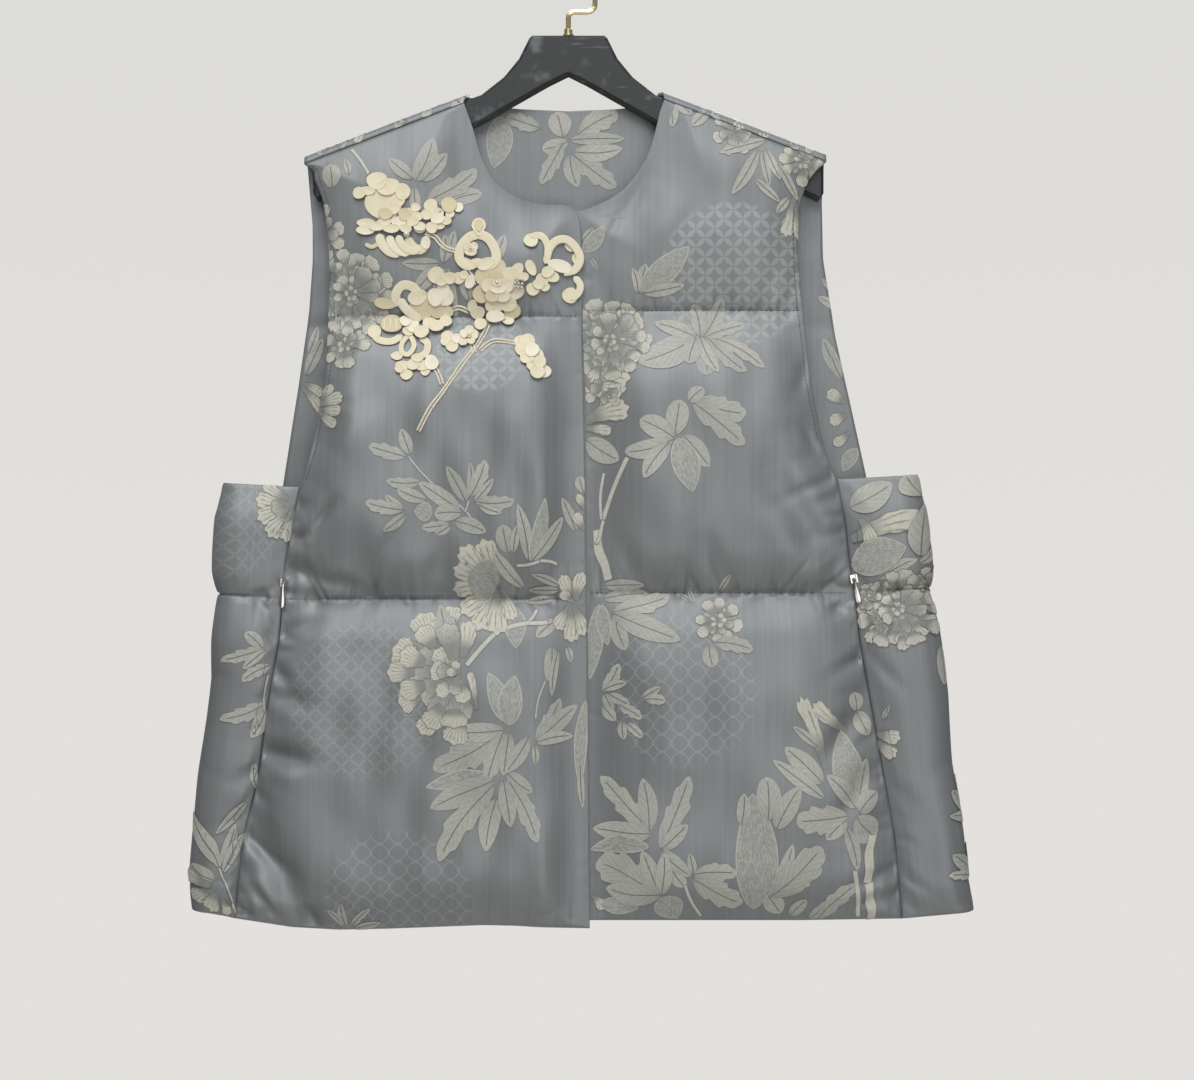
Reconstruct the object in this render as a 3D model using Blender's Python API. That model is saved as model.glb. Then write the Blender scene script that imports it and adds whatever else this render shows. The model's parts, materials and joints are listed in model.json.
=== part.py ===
"""Padded silk waistcoat on a flat shop hanger.

Sizes are millimetres in the tables below and metres in the scene. The origin is the inside top
of the hanger's hook, +Z is up, the fronts face -Y and +X is to the right as seen from the front.
"left" and "right" are as seen from the front.
"""
import math
from collections import namedtuple

import bmesh
import bpy
import numpy as np
from mathutils import Vector
from mathutils.bvhtree import BVHTree

MM = 0.001

# Cloth walls
EDGE_WALL = 2.8            # two cloths and flattened padding at a seam or a quilt line
SEAM_GAP = 0.35            # clear space left between two panels at a seam
SEAM_REACH = 34.0          # distance from a seam at which the padding is full
ABOVE_LINE_REACH = 32.0    # padding settles: steep just above a quilt line ...
BELOW_LINE_REACH = 80.0    # ... and slack below one
YOKE_PUFF = 6.5            # padding height over the edge wall, above the chest line
BODY_PUFF = 12.0           # the same below the chest line
SIDE_PUFF = 6.5            # the same on the side panels
LAP_WIDTH = 26.0           # how far the right front runs on under the left one
LAP_LIFT = 4.4             # the left front stands this much further out over the lap
LAP_EASE = 28.0
LAP_SHOWS = 1.0            # the right front's padding starts this far out from the left's edge

# Depths of the plain inner faces: just clear of the hanger, opening out below it
HANGER_CLEAR = 0.5         # between the cloth and the hanger's faces
SADDLE_CLEAR = 0.8         # between the cloth and the hanger's top edge
HANGER_THICK = 12.0
FRONT_DROP = 7.5
BACK_DROP = 4.0
OPENS_FROM, OPENS_OVER = -165.0, 300.0

# Heights
SHOULDER_DROP = 6.5        # the shoulder seam lies this far below the top silhouette, in front
LEFT_CHEST, RIGHT_CHEST, BACK_CHEST = -267.9, -263.4, -273.0
LEFT_WAIST, RIGHT_WAIST = -478.0, -473.5

Edge = namedtuple("Edge", "x z")
# Top silhouette of the cloth over the hanger
TOP_LINE = [Edge(0.0, -74.0), Edge(65.1, -97.4), Edge(78.9, -102.6), Edge(126.7, -120.6),
            Edge(198.0, -148.2)]


def top_line(x):
    """Height of the cloth over the hanger at x, the same on both sides."""
    return np.interp(np.abs(x), [edge.x for edge in TOP_LINE], [edge.z for edge in TOP_LINE])


def shoulder_seam(x):
    """Height of the shoulder seam at x, in front of the hanger."""
    return float(top_line(x)) - SHOULDER_DROP


# One row for each measured height of a front: outer edge (armhole, then side seam) and
# inner edge (neckline, then centre front)
Row = namedtuple("Row", "outer_x outer_z inner_x inner_z")
LEFT_YOKE = [
    Row(-196.8, shoulder_seam(-196.8), -77.7, shoulder_seam(-77.7)),
    Row(-190.2, -158.9, -74.0, -119.0),
    Row(-188.7, -166.5, -70.0, -131.0),
    Row(-185.6, -174.0, -65.1, -148.0),
    Row(-182.2, -184.0, -56.0, -165.5),
    Row(-180.6, -193.2, -43.0, -176.5),
    Row(-179.2, -205.0, -24.0, -184.6),
    Row(-178.2, -216.0, 5.9, -190.6),
    Row(-177.6, -240.0, 9.6, -234.6),
    Row(-178.3, LEFT_CHEST, 9.8, LEFT_CHEST),
]
LEFT_MID = [
    LEFT_YOKE[-1],
    Row(-180.2, -308.6, 10.8, -308.6),
    Row(-185.0, -338.2, 11.4, -338.2),
    Row(-190.4, -363.8, 11.9, -363.8),
    Row(-198.8, -395.2, 12.3, -395.2),
]
LEFT_LOW = [
    LEFT_MID[-1],
    Row(-204.3, -421.1, 12.6, -421.1),
    Row(-209.2, -450.0, 13.0, -450.0),
    Row(-212.0, LEFT_WAIST, 13.3, LEFT_WAIST),
]
LEFT_SKIRT = [
    LEFT_LOW[-1],
    Row(-214.1, -508.4, 13.7, -508.4),
    Row(-222.1, -552.8, 14.2, -552.8),
    Row(-230.1, -612.0, 14.9, -612.0),
    Row(-240.7, -656.4, 15.3, -656.4),
    Row(-247.2, -714.9, 16.1, -721.5),
]
RIGHT_YOKE = [
    Row(192.4, shoulder_seam(192.4), 71.5, shoulder_seam(71.5)),
    Row(185.0, -158.5, 68.4, -115.0),
    Row(179.0, -166.5, 66.0, -125.1),
    Row(175.5, -176.0, 61.0, -143.0),
    Row(172.4, -187.0, 53.5, -158.0),
    Row(171.2, -200.4, 37.4, -176.1),
    Row(171.2, -212.0, 10.4, -188.9),
    Row(171.7, -221.9, -14.0, -191.5),
    Row(172.6, -243.0, -14.0, -231.0),
    Row(174.8, RIGHT_CHEST, -14.0, RIGHT_CHEST),
]
RIGHT_MID = [
    RIGHT_YOKE[-1],
    Row(177.8, -290.0, -14.0, -290.0),
    Row(180.0, -312.7, -14.0, -312.7),
    Row(183.9, -336.0, -14.0, -336.0),
    Row(190.0, -364.0, -14.0, -364.0),
    Row(199.1, -389.3, -13.0, -389.3),
]
RIGHT_LOW = [
    RIGHT_MID[-1],
    Row(205.3, -421.6, -13.0, -421.6),
    Row(208.6, -450.0, -13.0, -450.0),
    Row(212.4, RIGHT_WAIST, -12.0, RIGHT_WAIST),
]
RIGHT_SKIRT = [
    RIGHT_LOW[-1],
    Row(216.1, -508.4, -12.0, -508.4),
    Row(224.2, -555.0, -11.0, -555.0),
    Row(233.0, -604.0, -11.0, -604.0),
    Row(242.0, -656.4, -10.0, -656.4),
    Row(247.6, -715.1, -10.0, -716.3),
]
# The hem of a front between its ends
HemPoint = namedtuple("HemPoint", "x z")
LEFT_HEM = [HemPoint(-247.2, -714.9), HemPoint(-205.0, -721.4), HemPoint(-170.0, -723.4),
            HemPoint(-134.2, -722.7), HemPoint(-62.9, -720.0), HemPoint(16.1, -721.5)]
RIGHT_HEM = [HemPoint(-10.0, -716.3), HemPoint(172.4, -716.3), HemPoint(247.6, -715.1)]

# Back: its armhole edge, then its side seam
BACK_LEFT = [Edge(-196.8, -150.0), Edge(-192.8, -197.6), Edge(-192.8, -224.2),
             Edge(-195.4, -260.5), Edge(-200.0, -293.8), Edge(-211.6, -367.8),
             Edge(-216.0, -395.2), Edge(-222.0, -478.0), Edge(-244.0, -712.0)]
BACK_RIGHT = [Edge(192.4, -150.0), Edge(190.8, -180.0), Edge(191.9, -223.5),
              Edge(201.5, -282.7), Edge(214.6, -340.8), Edge(225.4, -389.3),
              Edge(233.0, -473.5), Edge(262.0, -712.0)]
# The back neckline between the arms, and where it crosses over the hanger to the front
BACK_NECK = [Edge(0.0, -111.4), Edge(35.0, -110.0), Edge(60.0, -107.5), Edge(72.0, -105.8)]
LEFT_NECK_TURN, RIGHT_NECK_TURN = (72.0, 78.0), (66.0, 72.0)

# Side panels: outer fold seen from the front, at full padding
LEFT_FOLD = [Edge(-258.6, -391.5), Edge(-264.4, -417.4), Edge(-266.2, -443.3),
             Edge(-267.2, -480.0), Edge(-268.4, -536.5), Edge(-276.8, -612.0),
             Edge(-281.2, -652.0), Edge(-283.9, -682.3), Edge(-282.0, -708.9)]
RIGHT_FOLD = [Edge(262.0, -385.0), Edge(266.8, -409.2), Edge(271.2, -439.6),
              Edge(276.8, -485.8), Edge(284.6, -549.5), Edge(288.4, -600.2),
              Edge(296.0, -651.2), Edge(303.7, -710.0)]
SideEnds = namedtuple("SideEnds", "seam fold back")
LEFT_SIDE_TOP, LEFT_SIDE_HEM = SideEnds(-395.2, -391.5, -395.2), SideEnds(-714.9, -709.5, -712.0)
RIGHT_SIDE_TOP, RIGHT_SIDE_HEM = SideEnds(-389.3, -385.5, -389.3), SideEnds(-715.1, -710.0, -712.0)

# The largest creases: soft troughs in the padding
Fold = namedtuple("Fold", "x0 z0 x1 z1 half_width depth")
LEFT_FOLDS = [
    Fold(-207.9, -444.8, -176.0, -426.0, 9.0, 5.0),
    Fold(-176.0, -426.0, -163.0, -407.0, 9.0, 3.5),
    Fold(-233.8, -641.6, -196.0, -712.0, 13.0, 8.0),
    Fold(-221.0, -549.0, -200.0, -577.0, 10.0, 3.5),
]
RIGHT_FOLDS = [
    Fold(156.9, -384.1, 190.0, -450.0, 14.0, 5.0),
    Fold(214.0, -560.0, 190.0, -600.0, 11.0, 3.5),
]

# Pocket zips in the front side seams: hinge of the pull tab, and its lean from the vertical
Zip = namedtuple("Zip", "x z lean_deg")
ZIPS = {"left": Zip(-210.9, -466.5, -3.0), "right": Zip(211.6, -463.5, 12.0)}
ZIP_DIMPLE = 22.0
ZIP_SEAT = 0.8             # from the seam's outer face to the slider's back

# Columns and rows of the panel grids
YOKE_ROWS, MID_ROWS, LOW_ROWS, SKIRT_ROWS = 11, 5, 4, 10
FRONT_COLUMNS, LAP_COLUMNS = 15, 3
SIDE_FLAT, SIDE_TURN = 5, 6

# Applique of cut petals on the left front
APPLIQUE_GAP = 0.5
Blossom = namedtuple("Blossom", "name x z radius petals turn_deg")
BLOSSOMS = [
    Blossom("blossom_top", -131.7, -188.7, 22.0, 7, 10.0),
    Blossom("blossom_small", -90.3, -188.7, 11.0, 5, 0.0),
    Blossom("blossom_centre", -52.5, -247.2, 16.0, 6, 20.0),
    Blossom("blossom_bud", -84.4, -242.7, 8.0, 5, 30.0),
    Blossom("blossom_left", -105.8, -262.7, 19.0, 7, 0.0),
    Blossom("blossom_low", -115.4, -299.7, 12.0, 5, 15.0),
    Blossom("blossom_low_right", -79.2, -284.9, 8.0, 5, 0.0),
    Blossom("blossom_tip", -25.9, -299.7, 11.0, 5, 40.0),
    Blossom("blossom_right", -27.4, -238.3, 8.5, 5, 0.0),
]
Ribbon = namedtuple("Ribbon", "name width height points")
RIBBONS = [
    Ribbon("petal_fan", 8.5, 1.6, [(-143, -216.5), (-131.5, -221), (-117, -221.5), (-103.5, -215)]),
    Ribbon("petal_pear", 7.0, 1.8, [(-66.6, -233.1), (-81.4, -228.7), (-83.6, -216.8),
                                    (-76.2, -205.7), (-62.2, -204.3), (-54.8, -213.5),
                                    (-57.0, -223.0)]),
    Ribbon("petal_scroll", 7.0, 1.8, [(-15.5, -226.5), (-14.1, -214.6), (-4.4, -210.9),
                                      (5.0, -219.8), (6.0, -236.1), (3.0, -253.8)]),
    Ribbon("petal_curl", 6.0, 1.6, [(-19.0, -218.5), (-24.0, -210.5), (-29.6, -212.4)]),
    Ribbon("petal_crescent", 7.5, 1.6, [(-145.0, -275.3), (-139.1, -284.9), (-129.3, -286.6)]),
    Ribbon("stem_main", 3.0, 2.0, [(-109.5, -355.2), (-89.5, -322.7), (-76.2, -304.9),
                                   (-65.9, -290.8), (-59.2, -268.4)]),
    Ribbon("stem_branch", 2.6, 1.8, [(-60.8, -291.6), (-54.8, -287.1), (-39.5, -288.6)]),
    Ribbon("stem_top", 2.6, 1.8, [(-107.5, -209.0), (-99.0, -215.0), (-89.5, -221.0)]),
    Ribbon("stem_low", 2.6, 1.8, [(-102.0, -307.5), (-96.2, -313.8), (-94.4, -318.5)]),
]

# Hanger and hook
HANGER_TOP = [(0.0, -57.0), (27.2, -57.0), (29.2, -59.0), (36.9, -74.5), (48.1, -88.1),
              (65.1, -101.5)]
HANGER_TIP = [(187.0, -148.8), (191.0, -152.5), (191.0, -175.0), (187.5, -180.2)]
HANGER_UNDER = [(64.4, -122.1), (14.0, -93.5), (0.0, -86.6)]
HANGER_BEVEL = 2.4
WIRE_RADIUS = 1.9
HOOK_RADIUS = 20.0
HOOK_CENTRE_Z = WIRE_RADIUS - HOOK_RADIUS
STEM_RUN_Z = -38.5

FINISHES = {
    "silk": ((0.235, 0.275, 0.305), 0.42, 0.0),
    "petal": ((0.82, 0.72, 0.48), 0.6, 0.0),
    "cord": ((0.80, 0.74, 0.60), 0.6, 0.0),
    "plastic": ((0.04, 0.045, 0.05), 0.5, 0.0),
    "gold": ((0.62, 0.48, 0.24), 0.3, 1.0),
    "silver": ((0.6, 0.6, 0.58), 0.3, 1.0),
}


def clear_scene():
    """Remove whatever the open file holds."""
    for item in list(bpy.data.objects):
        bpy.data.objects.remove(item)


def finish(name):
    """Return the Principled material of a finish, making it on first use."""
    material = bpy.data.materials.get(name)
    if material is None:
        colour, roughness, metallic = FINISHES[name]
        material = bpy.data.materials.new(name)
        material.use_nodes = True
        shader = material.node_tree.nodes["Principled BSDF"]
        shader.inputs["Base Color"].default_value = (*colour, 1.0)
        shader.inputs["Roughness"].default_value = roughness
        shader.inputs["Metallic"].default_value = metallic
        material.diffuse_color = (*colour, 1.0)
    return material


def add_solid(name, points, faces, finish_name, smooth=False):
    """Make one closed object from points in millimetres, with its faces turned outwards."""
    mesh = bpy.data.meshes.new(name)
    mesh.from_pydata([tuple(point) for point in np.asarray(points) * MM], [], faces)
    shape = bmesh.new()
    shape.from_mesh(mesh)
    bmesh.ops.triangulate(shape, faces=shape.faces)
    bmesh.ops.recalc_face_normals(shape, faces=shape.faces)
    shape.to_mesh(mesh)
    shape.free()
    mesh.materials.append(finish(finish_name))
    if smooth:
        mesh.shade_smooth()
    item = bpy.data.objects.new(name, mesh)
    bpy.context.scene.collection.objects.link(item)
    return item


def grid_faces(rows, columns, start=0):
    """Quads of a rows x columns grid of points numbered row by row from start."""
    row, column = np.meshgrid(np.arange(rows - 1), np.arange(columns - 1), indexing="ij")
    corner = (start + row * columns + column).ravel()
    return np.stack([corner, corner + 1, corner + columns + 1, corner + columns], 1).tolist()


def add_wall(name, inner, outer):
    """Close an inner and an outer grid of points into one cloth wall."""
    rows, columns = inner.shape[:2]
    count = rows * columns
    faces = grid_faces(rows, columns) + grid_faces(rows, columns, count)
    index = np.arange(count).reshape(rows, columns)
    rim = np.concatenate([index[0, :-1], index[:-1, -1], index[-1, :0:-1], index[:0:-1, 0]])
    for here, there in zip(rim, np.roll(rim, -1)):
        faces.append([int(here), int(there), int(there + count), int(here + count)])
    points = np.concatenate([inner.reshape(-1, 3), outer.reshape(-1, 3)])
    return add_solid(name, points, faces, "silk", smooth=True)


def eased(count):
    """Return 0..1 in count steps, closer together at both ends."""
    step = np.linspace(0.0, 1.0, count + 1)
    return 0.55 * (0.5 - 0.5 * np.cos(np.pi * step)) + 0.45 * step


def rise(distance, reach):
    """Quarter-round rise of the padding: 0 at a seam, 1 from reach on."""
    part = np.clip(distance / reach, 0.0, 1.0)
    return np.sqrt(1.0 - (1.0 - part) ** 2)


def smooth_step(value):
    """Return the soft ramp 3v^2 - 2v^3 of a value held between 0 and 1."""
    value = np.clip(value, 0.0, 1.0)
    return value * value * (3.0 - 2.0 * value)


def segment_distance(x, z, x0, z0, x1, z1):
    """Distance from points to a line segment, and how far along it the nearest point is."""
    run_x, run_z = x1 - x0, z1 - z0
    along = np.clip(((x - x0) * run_x + (z - z0) * run_z) / (run_x ** 2 + run_z ** 2), 0.0, 1.0)
    return np.hypot(x - x0 - along * run_x, z - z0 - along * run_z), along


def outline_distance(x, z, outline):
    """Shortest distance from points to a closed outline of (x, z) pairs."""
    nearest = np.full(np.shape(x), np.inf)
    for (x0, z0), (x1, z1) in zip(outline, outline[1:] + outline[:1]):
        nearest = np.minimum(nearest, segment_distance(x, z, x0, z0, x1, z1)[0])
    return nearest


def zip_dimple(x, z):
    """Share of the padding left near the pocket zips, where their slit pinches it."""
    share = np.ones(np.shape(x))
    for zipper in ZIPS.values():
        near = (x - zipper.x) ** 2 + (z - zipper.z + 6.0) ** 2
        share = share * (1.0 - 0.95 * np.exp(-near / ZIP_DIMPLE ** 2))
    return share


def front_plane(z):
    """Depth of the plain inner face of the fronts."""
    opening = smooth_step((OPENS_FROM - z) / OPENS_OVER)
    return -(HANGER_THICK / 2 + HANGER_CLEAR) - FRONT_DROP * opening


def back_plane(z):
    """Depth of the plain inner face of the back."""
    opening = smooth_step((OPENS_FROM - z) / OPENS_OVER)
    return HANGER_THICK / 2 + HANGER_CLEAR + BACK_DROP * opening


def section_rows(rows, count):
    """Ease count + 1 rows along the two edges of a section's table, by their length."""
    table = np.array(rows)
    steps = np.diff(table, axis=0)
    lengths = np.hypot(steps[:, 0], steps[:, 1]) + np.hypot(steps[:, 2], steps[:, 3])
    known = np.concatenate([[0.0], np.cumsum(lengths)])
    wanted = eased(count) * known[-1]
    return np.stack([np.interp(wanted, known, table[:, k]) for k in range(4)], 1)


def edge_x(table, z):
    """Read an edge's x at heights z."""
    table = sorted(table, key=lambda edge: edge.z)
    return np.interp(z, [edge.z for edge in table], [edge.x for edge in table])


class Front:
    """One front panel: its ruled rows, its visible outline and its padding."""

    def __init__(self, side, sections, hem, chest, waist, folds):
        self.side = side
        self.chest, self.waist, self.folds = chest, waist, folds
        counts = (YOKE_ROWS, MID_ROWS, LOW_ROWS, SKIRT_ROWS)
        parts = [section_rows(rows, count) for rows, count in zip(sections, counts)]
        self.rows = np.concatenate([parts[0]] + [part[1:] for part in parts[1:]])
        outer_x, outer_z, inner_x, inner_z = (self.rows[:, k:k + 1] for k in range(4))
        across = eased(FRONT_COLUMNS)[None, :]
        if side == "right":
            seen = edge_x(LEFT_CENTRE, inner_z) + LAP_SHOWS
            seen_share = np.minimum((seen - outer_x) / (inner_x - outer_x), 0.93)
            hidden = np.linspace(0.0, 1.0, LAP_COLUMNS + 1)[1:]
            across = np.hstack([seen_share * eased(FRONT_COLUMNS - LAP_COLUMNS),
                                seen_share + (1.0 - seen_share) * hidden])
        self.x = outer_x + (inner_x - outer_x) * across
        self.z = outer_z + (inner_z - outer_z) * across
        hem = sorted(hem)
        straight = self.z[-1]
        curved = np.interp(self.x[-1], [p.x for p in hem], [p.z for p in hem])
        below_waist = np.clip((waist - self.z) / (waist - straight[None, :]), 0.0, 1.0)
        self.z = self.z + (curved - straight)[None, :] * below_waist
        inner = [(r[2], r[3]) for r in self.rows]
        if side == "right":
            inner = [(max(x, edge_x(LEFT_CENTRE, z) + LAP_SHOWS), z) for x, z in inner]
        self.outline = [(r[0], r[1]) for r in self.rows] + inner[::-1]

    def seam_rows(self):
        """Outer edge points from the underarm down to the hem."""
        return self.rows[YOKE_ROWS + MID_ROWS:, :2]

    def lifted(self, x):
        """Extra stand-out of the left front over the lap."""
        if self.side == "right":
            return np.zeros(np.shape(x))
        return LAP_LIFT * smooth_step((x + LAP_WIDTH + LAP_EASE - 10.0) / LAP_EASE)

    def inner_y(self, x, z):
        """Depth of the plain inner face."""
        return front_plane(z) - self.lifted(x)

    def wall(self, x, z):
        """Thickness of cloth and padding: a pillow between quilt lines, less the creases."""
        edge = outline_distance(x, z, self.outline)
        if self.side == "right":
            edge = np.where(x < edge_x(LEFT_CENTRE, z) + LAP_SHOWS, 0.0, edge)
        puff = np.where(z > self.chest, YOKE_PUFF, BODY_PUFF) * rise(edge, SEAM_REACH)
        for line in (self.chest, self.waist):
            reach = np.where(z > line, ABOVE_LINE_REACH, BELOW_LINE_REACH)
            puff = puff * rise(np.abs(z - line), reach)
        puff = puff * zip_dimple(x, z)
        for fold in self.folds:
            gap, along = segment_distance(x, z, *fold[:4])
            ends = np.sin(np.pi * np.clip(0.12 + 0.76 * along, 0.0, 1.0))
            puff = puff - fold.depth * ends * np.exp(-(gap / fold.half_width) ** 2)
        return EDGE_WALL + np.maximum(puff, 0.0)

    def build(self):
        """Make the panel's wall and keep its outer face for what lies on it."""
        y = self.inner_y(self.x, self.z)
        inner = np.stack([self.x, y, self.z], 2)
        outer = np.stack([self.x, y - self.wall(self.x, self.z), self.z], 2)
        self.outer = outer
        return add_wall(f"front_{self.side}", inner, outer)


def side_levels(ends, across):
    """Height of a side panel's top or hem, from seam over fold to back."""
    return np.interp(across, [0.0, 0.5, 1.0], ends)


def add_side(front, fold_table, back_table, top, hem):
    """Build one side panel: flat from the front seam, round the fold, flat to the back seam.

    Its path lies in plan, so the wall is set off along the path's normal.
    """
    sign = -1.0 if front.side == "left" else 1.0
    seam = front.seam_rows()
    seam_x, seam_z = seam[:, 0], seam[:, 1]
    levels = len(seam_z)
    drop = (seam_z[0] - seam_z) / (seam_z[0] - seam_z[-1])
    path = np.concatenate([np.linspace(0, 0.35, SIDE_FLAT + 1),
                           np.linspace(0.35, 0.65, SIDE_TURN + 1)[1:],
                           np.linspace(0.65, 1.0, SIDE_FLAT + 1)[1:]])
    columns = len(path)
    inner, outer = np.zeros((levels, columns, 3)), np.zeros((levels, columns, 3))
    top_z, hem_z = side_levels(top, path), side_levels(hem, path)
    start_x = seam_x + sign * SEAM_GAP
    for level in range(levels):
        z = top_z + (hem_z - top_z) * drop[level]
        front_y, back_y = front_plane(seam_z[level]), back_plane(seam_z[level])
        radius, middle = (back_y - front_y) / 2, (back_y + front_y) / 2
        fold_x = sign * (abs(edge_x(fold_table, z)) - EDGE_WALL - SIDE_PUFF)
        turn_x = fold_x - sign * radius
        end_x = edge_x(back_table, seam_z[level]) + sign * SEAM_GAP
        flat_in = np.clip(path / 0.35, 0.0, 1.0)
        flat_out = np.clip((1.0 - path) / 0.35, 0.0, 1.0)
        angle = np.pi * np.clip((path - 0.35) / 0.3, 0.0, 1.0)
        flat_x = np.where(path < 0.5, start_x[level] + (turn_x - start_x[level]) * flat_in,
                          end_x + (turn_x - end_x) * flat_out)
        x = flat_x + sign * radius * np.sin(angle)
        y = middle - radius * np.cos(angle)
        from_seams = np.minimum(np.abs(x - start_x[level]), np.abs(x - end_x) + radius * angle)
        from_seams = np.where(path > 0.5, np.abs(x - end_x), from_seams)
        puff = SIDE_PUFF * rise(from_seams, SEAM_REACH * 0.8)
        puff = puff * rise(top_z - z, 22.0) * rise(z - hem_z, 24.0)
        waist = np.abs(z - (top_z + (hem_z - top_z) * drop[LOW_ROWS]))
        puff = puff * rise(waist, np.where(level < LOW_ROWS, 20.0, 40.0)) * zip_dimple(x, z)
        wall = EDGE_WALL + puff
        inner[level] = np.stack([x, y, z], 1)
        outer[level] = np.stack([x + sign * wall * np.sin(angle), y - wall * np.cos(angle), z], 1)
    return add_wall(f"side_{front.side}", inner, outer)


def back_path(x, reach):
    """Point and outward direction on the back's inner face.

    reach is the height z up the back, and beyond the hanger's shoulder it is the length of the
    path over the hanger's rounded top and down its front.
    """
    corner = HANGER_BEVEL
    half = HANGER_THICK / 2 + HANGER_CLEAR
    bend = top_line(x) - EDGE_WALL - corner
    over = reach - bend
    quarter = corner * np.pi / 2
    flat = 2 * (half - corner)
    first = np.clip(over / quarter, 0.0, 1.0) * np.pi / 2
    crossing = np.clip(over - quarter, 0.0, flat)
    second = np.clip((over - quarter - flat) / quarter, 0.0, 1.0) * np.pi / 2
    down = np.maximum(over - 2 * quarter - flat, 0.0)
    base = back_plane(np.minimum(reach, bend))
    y = base - corner * (1 - np.cos(first)) - crossing - corner * np.sin(second)
    z = np.minimum(reach, bend) + corner * np.sin(first) - corner * (1 - np.cos(second)) - down
    turn = first + second
    return y, z, np.cos(turn), np.sin(turn)


def add_back():
    """Build the back: up from the hem, over the hanger and down to the shoulder seams."""
    corner = HANGER_BEVEL
    half = HANGER_THICK / 2 + HANGER_CLEAR
    over_length = corner * np.pi + 2 * (half - corner)
    seam_down = SHOULDER_DROP - EDGE_WALL - corner - SEAM_GAP
    arms = [92.0, 110.0, 128.0, 146.0, 164.0, 181.0]
    left_top = [24.0, 50.0, *np.linspace(*LEFT_NECK_TURN, 5), *arms, -BACK_LEFT[0].x]
    right_top = [0.0, 24.0, 48.0, *np.linspace(*RIGHT_NECK_TURN, 5), *arms, BACK_RIGHT[0].x]
    top_x = np.array([-x for x in left_top[::-1]] + right_top)
    columns = len(top_x)
    share = np.linspace(0.0, 1.0, columns)
    share = 0.35 * (0.5 - 0.5 * np.cos(np.pi * share)) + 0.65 * share
    bend = top_line(top_x) - EDGE_WALL - corner
    neck_z = np.interp(np.abs(top_x), [e.x for e in BACK_NECK], [e.z for e in BACK_NECK])
    turn_from, turn_to = np.where(top_x[None, :] < 0.0, np.array([LEFT_NECK_TURN]).T,
                                  np.array([RIGHT_NECK_TURN]).T)
    across = np.clip((np.abs(top_x) - turn_from) / (turn_to - turn_from), 0.0, 1.0)
    full = bend + over_length + seam_down
    end = np.where(np.abs(top_x) < turn_from, neck_z, bend + (full - bend) * across)
    start = np.minimum(bend, end - 9.0)
    corners = np.array([0.0, corner * np.pi / 4, corner * np.pi / 2,
                        corner * np.pi / 2 + (half - corner),
                        corner * np.pi / 2 + 2 * (half - corner),
                        corner * np.pi * 0.75 + 2 * (half - corner), over_length])
    corners = np.append(corners / (over_length + seam_down), 1.0)
    left = np.array(SEAM_LEVELS["left"])
    right = np.array(SEAM_LEVELS["right"])
    rows = []
    for level in range(len(left) - 1, -1, -1):
        rows.append(left[level] + (right[level] - left[level]) * share)
    underarm = rows[-1]
    for part in eased(MID_ROWS)[1:]:
        rows.append(underarm + (BACK_CHEST - underarm) * part)
    for part in eased(4)[1:]:
        rows.append(BACK_CHEST + (start - BACK_CHEST) * part)
    for part in corners[1:]:
        rows.append(start + (end - start) * part)
    reach = np.array(rows)
    hem_shape = np.clip((LEFT_WAIST - reach) / (LEFT_WAIST + 712.0), 0.0, 1.0)
    reach = reach - 3.0 * hem_shape * np.sin(np.pi * share)[None, :]
    low = np.minimum(reach, BACK_LEFT[0].z)
    left_x, right_x = edge_x(BACK_LEFT, low), edge_x(BACK_RIGHT, low)
    ruled = left_x + (right_x - left_x) * share[None, :]
    toward_top = smooth_step((reach - BACK_CHEST) / (-135.0 - BACK_CHEST))
    x = ruled + (top_x[None, :] - ruled) * toward_top
    x[:, 0], x[:, -1] = left_x[:, 0], right_x[:, -1]
    y, z, out_y, out_z = back_path(x, reach)
    outline = [(e.x, e.z) for e in BACK_LEFT] + [(e.x, e.z) for e in BACK_RIGHT][::-1]
    edge = outline_distance(x, z, outline)
    below_top = np.minimum(end[None, :] - reach, 200.0)
    puff = np.where(reach > BACK_CHEST, YOKE_PUFF, BODY_PUFF) * rise(edge, SEAM_REACH)
    puff = puff * rise(np.maximum(below_top - 34.0, 0.0), 60.0)
    for line in (BACK_CHEST, (LEFT_WAIST + RIGHT_WAIST) / 2):
        reach_of = np.where(reach > line, ABOVE_LINE_REACH, BELOW_LINE_REACH)
        puff = puff * rise(np.abs(reach - line), reach_of)
    wall = EDGE_WALL + puff
    inner = np.stack([x, y, z], 2)
    outer = np.stack([x, y + wall * out_y, z + wall * out_z], 2)
    return add_wall("back", inner, outer)


def catmull_rom(points, count):
    """Smooth curve of count + 1 points through the given ones."""
    points = np.array(points, float)
    padded = np.vstack([2 * points[0] - points[1], points, 2 * points[-1] - points[-2]])
    place = np.linspace(0.0, len(points) - 1, count + 1)
    index = np.minimum(place.astype(int), len(points) - 2)
    t = (place - index)[:, None]
    p0, p1, p2, p3 = (padded[index + k] for k in range(4))
    return 0.5 * (2 * p1 + (p2 - p0) * t + (2 * p0 - 5 * p1 + 4 * p2 - p3) * t ** 2
                  + (3 * p1 - p0 - 3 * p2 + p3) * t ** 3)


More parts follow.
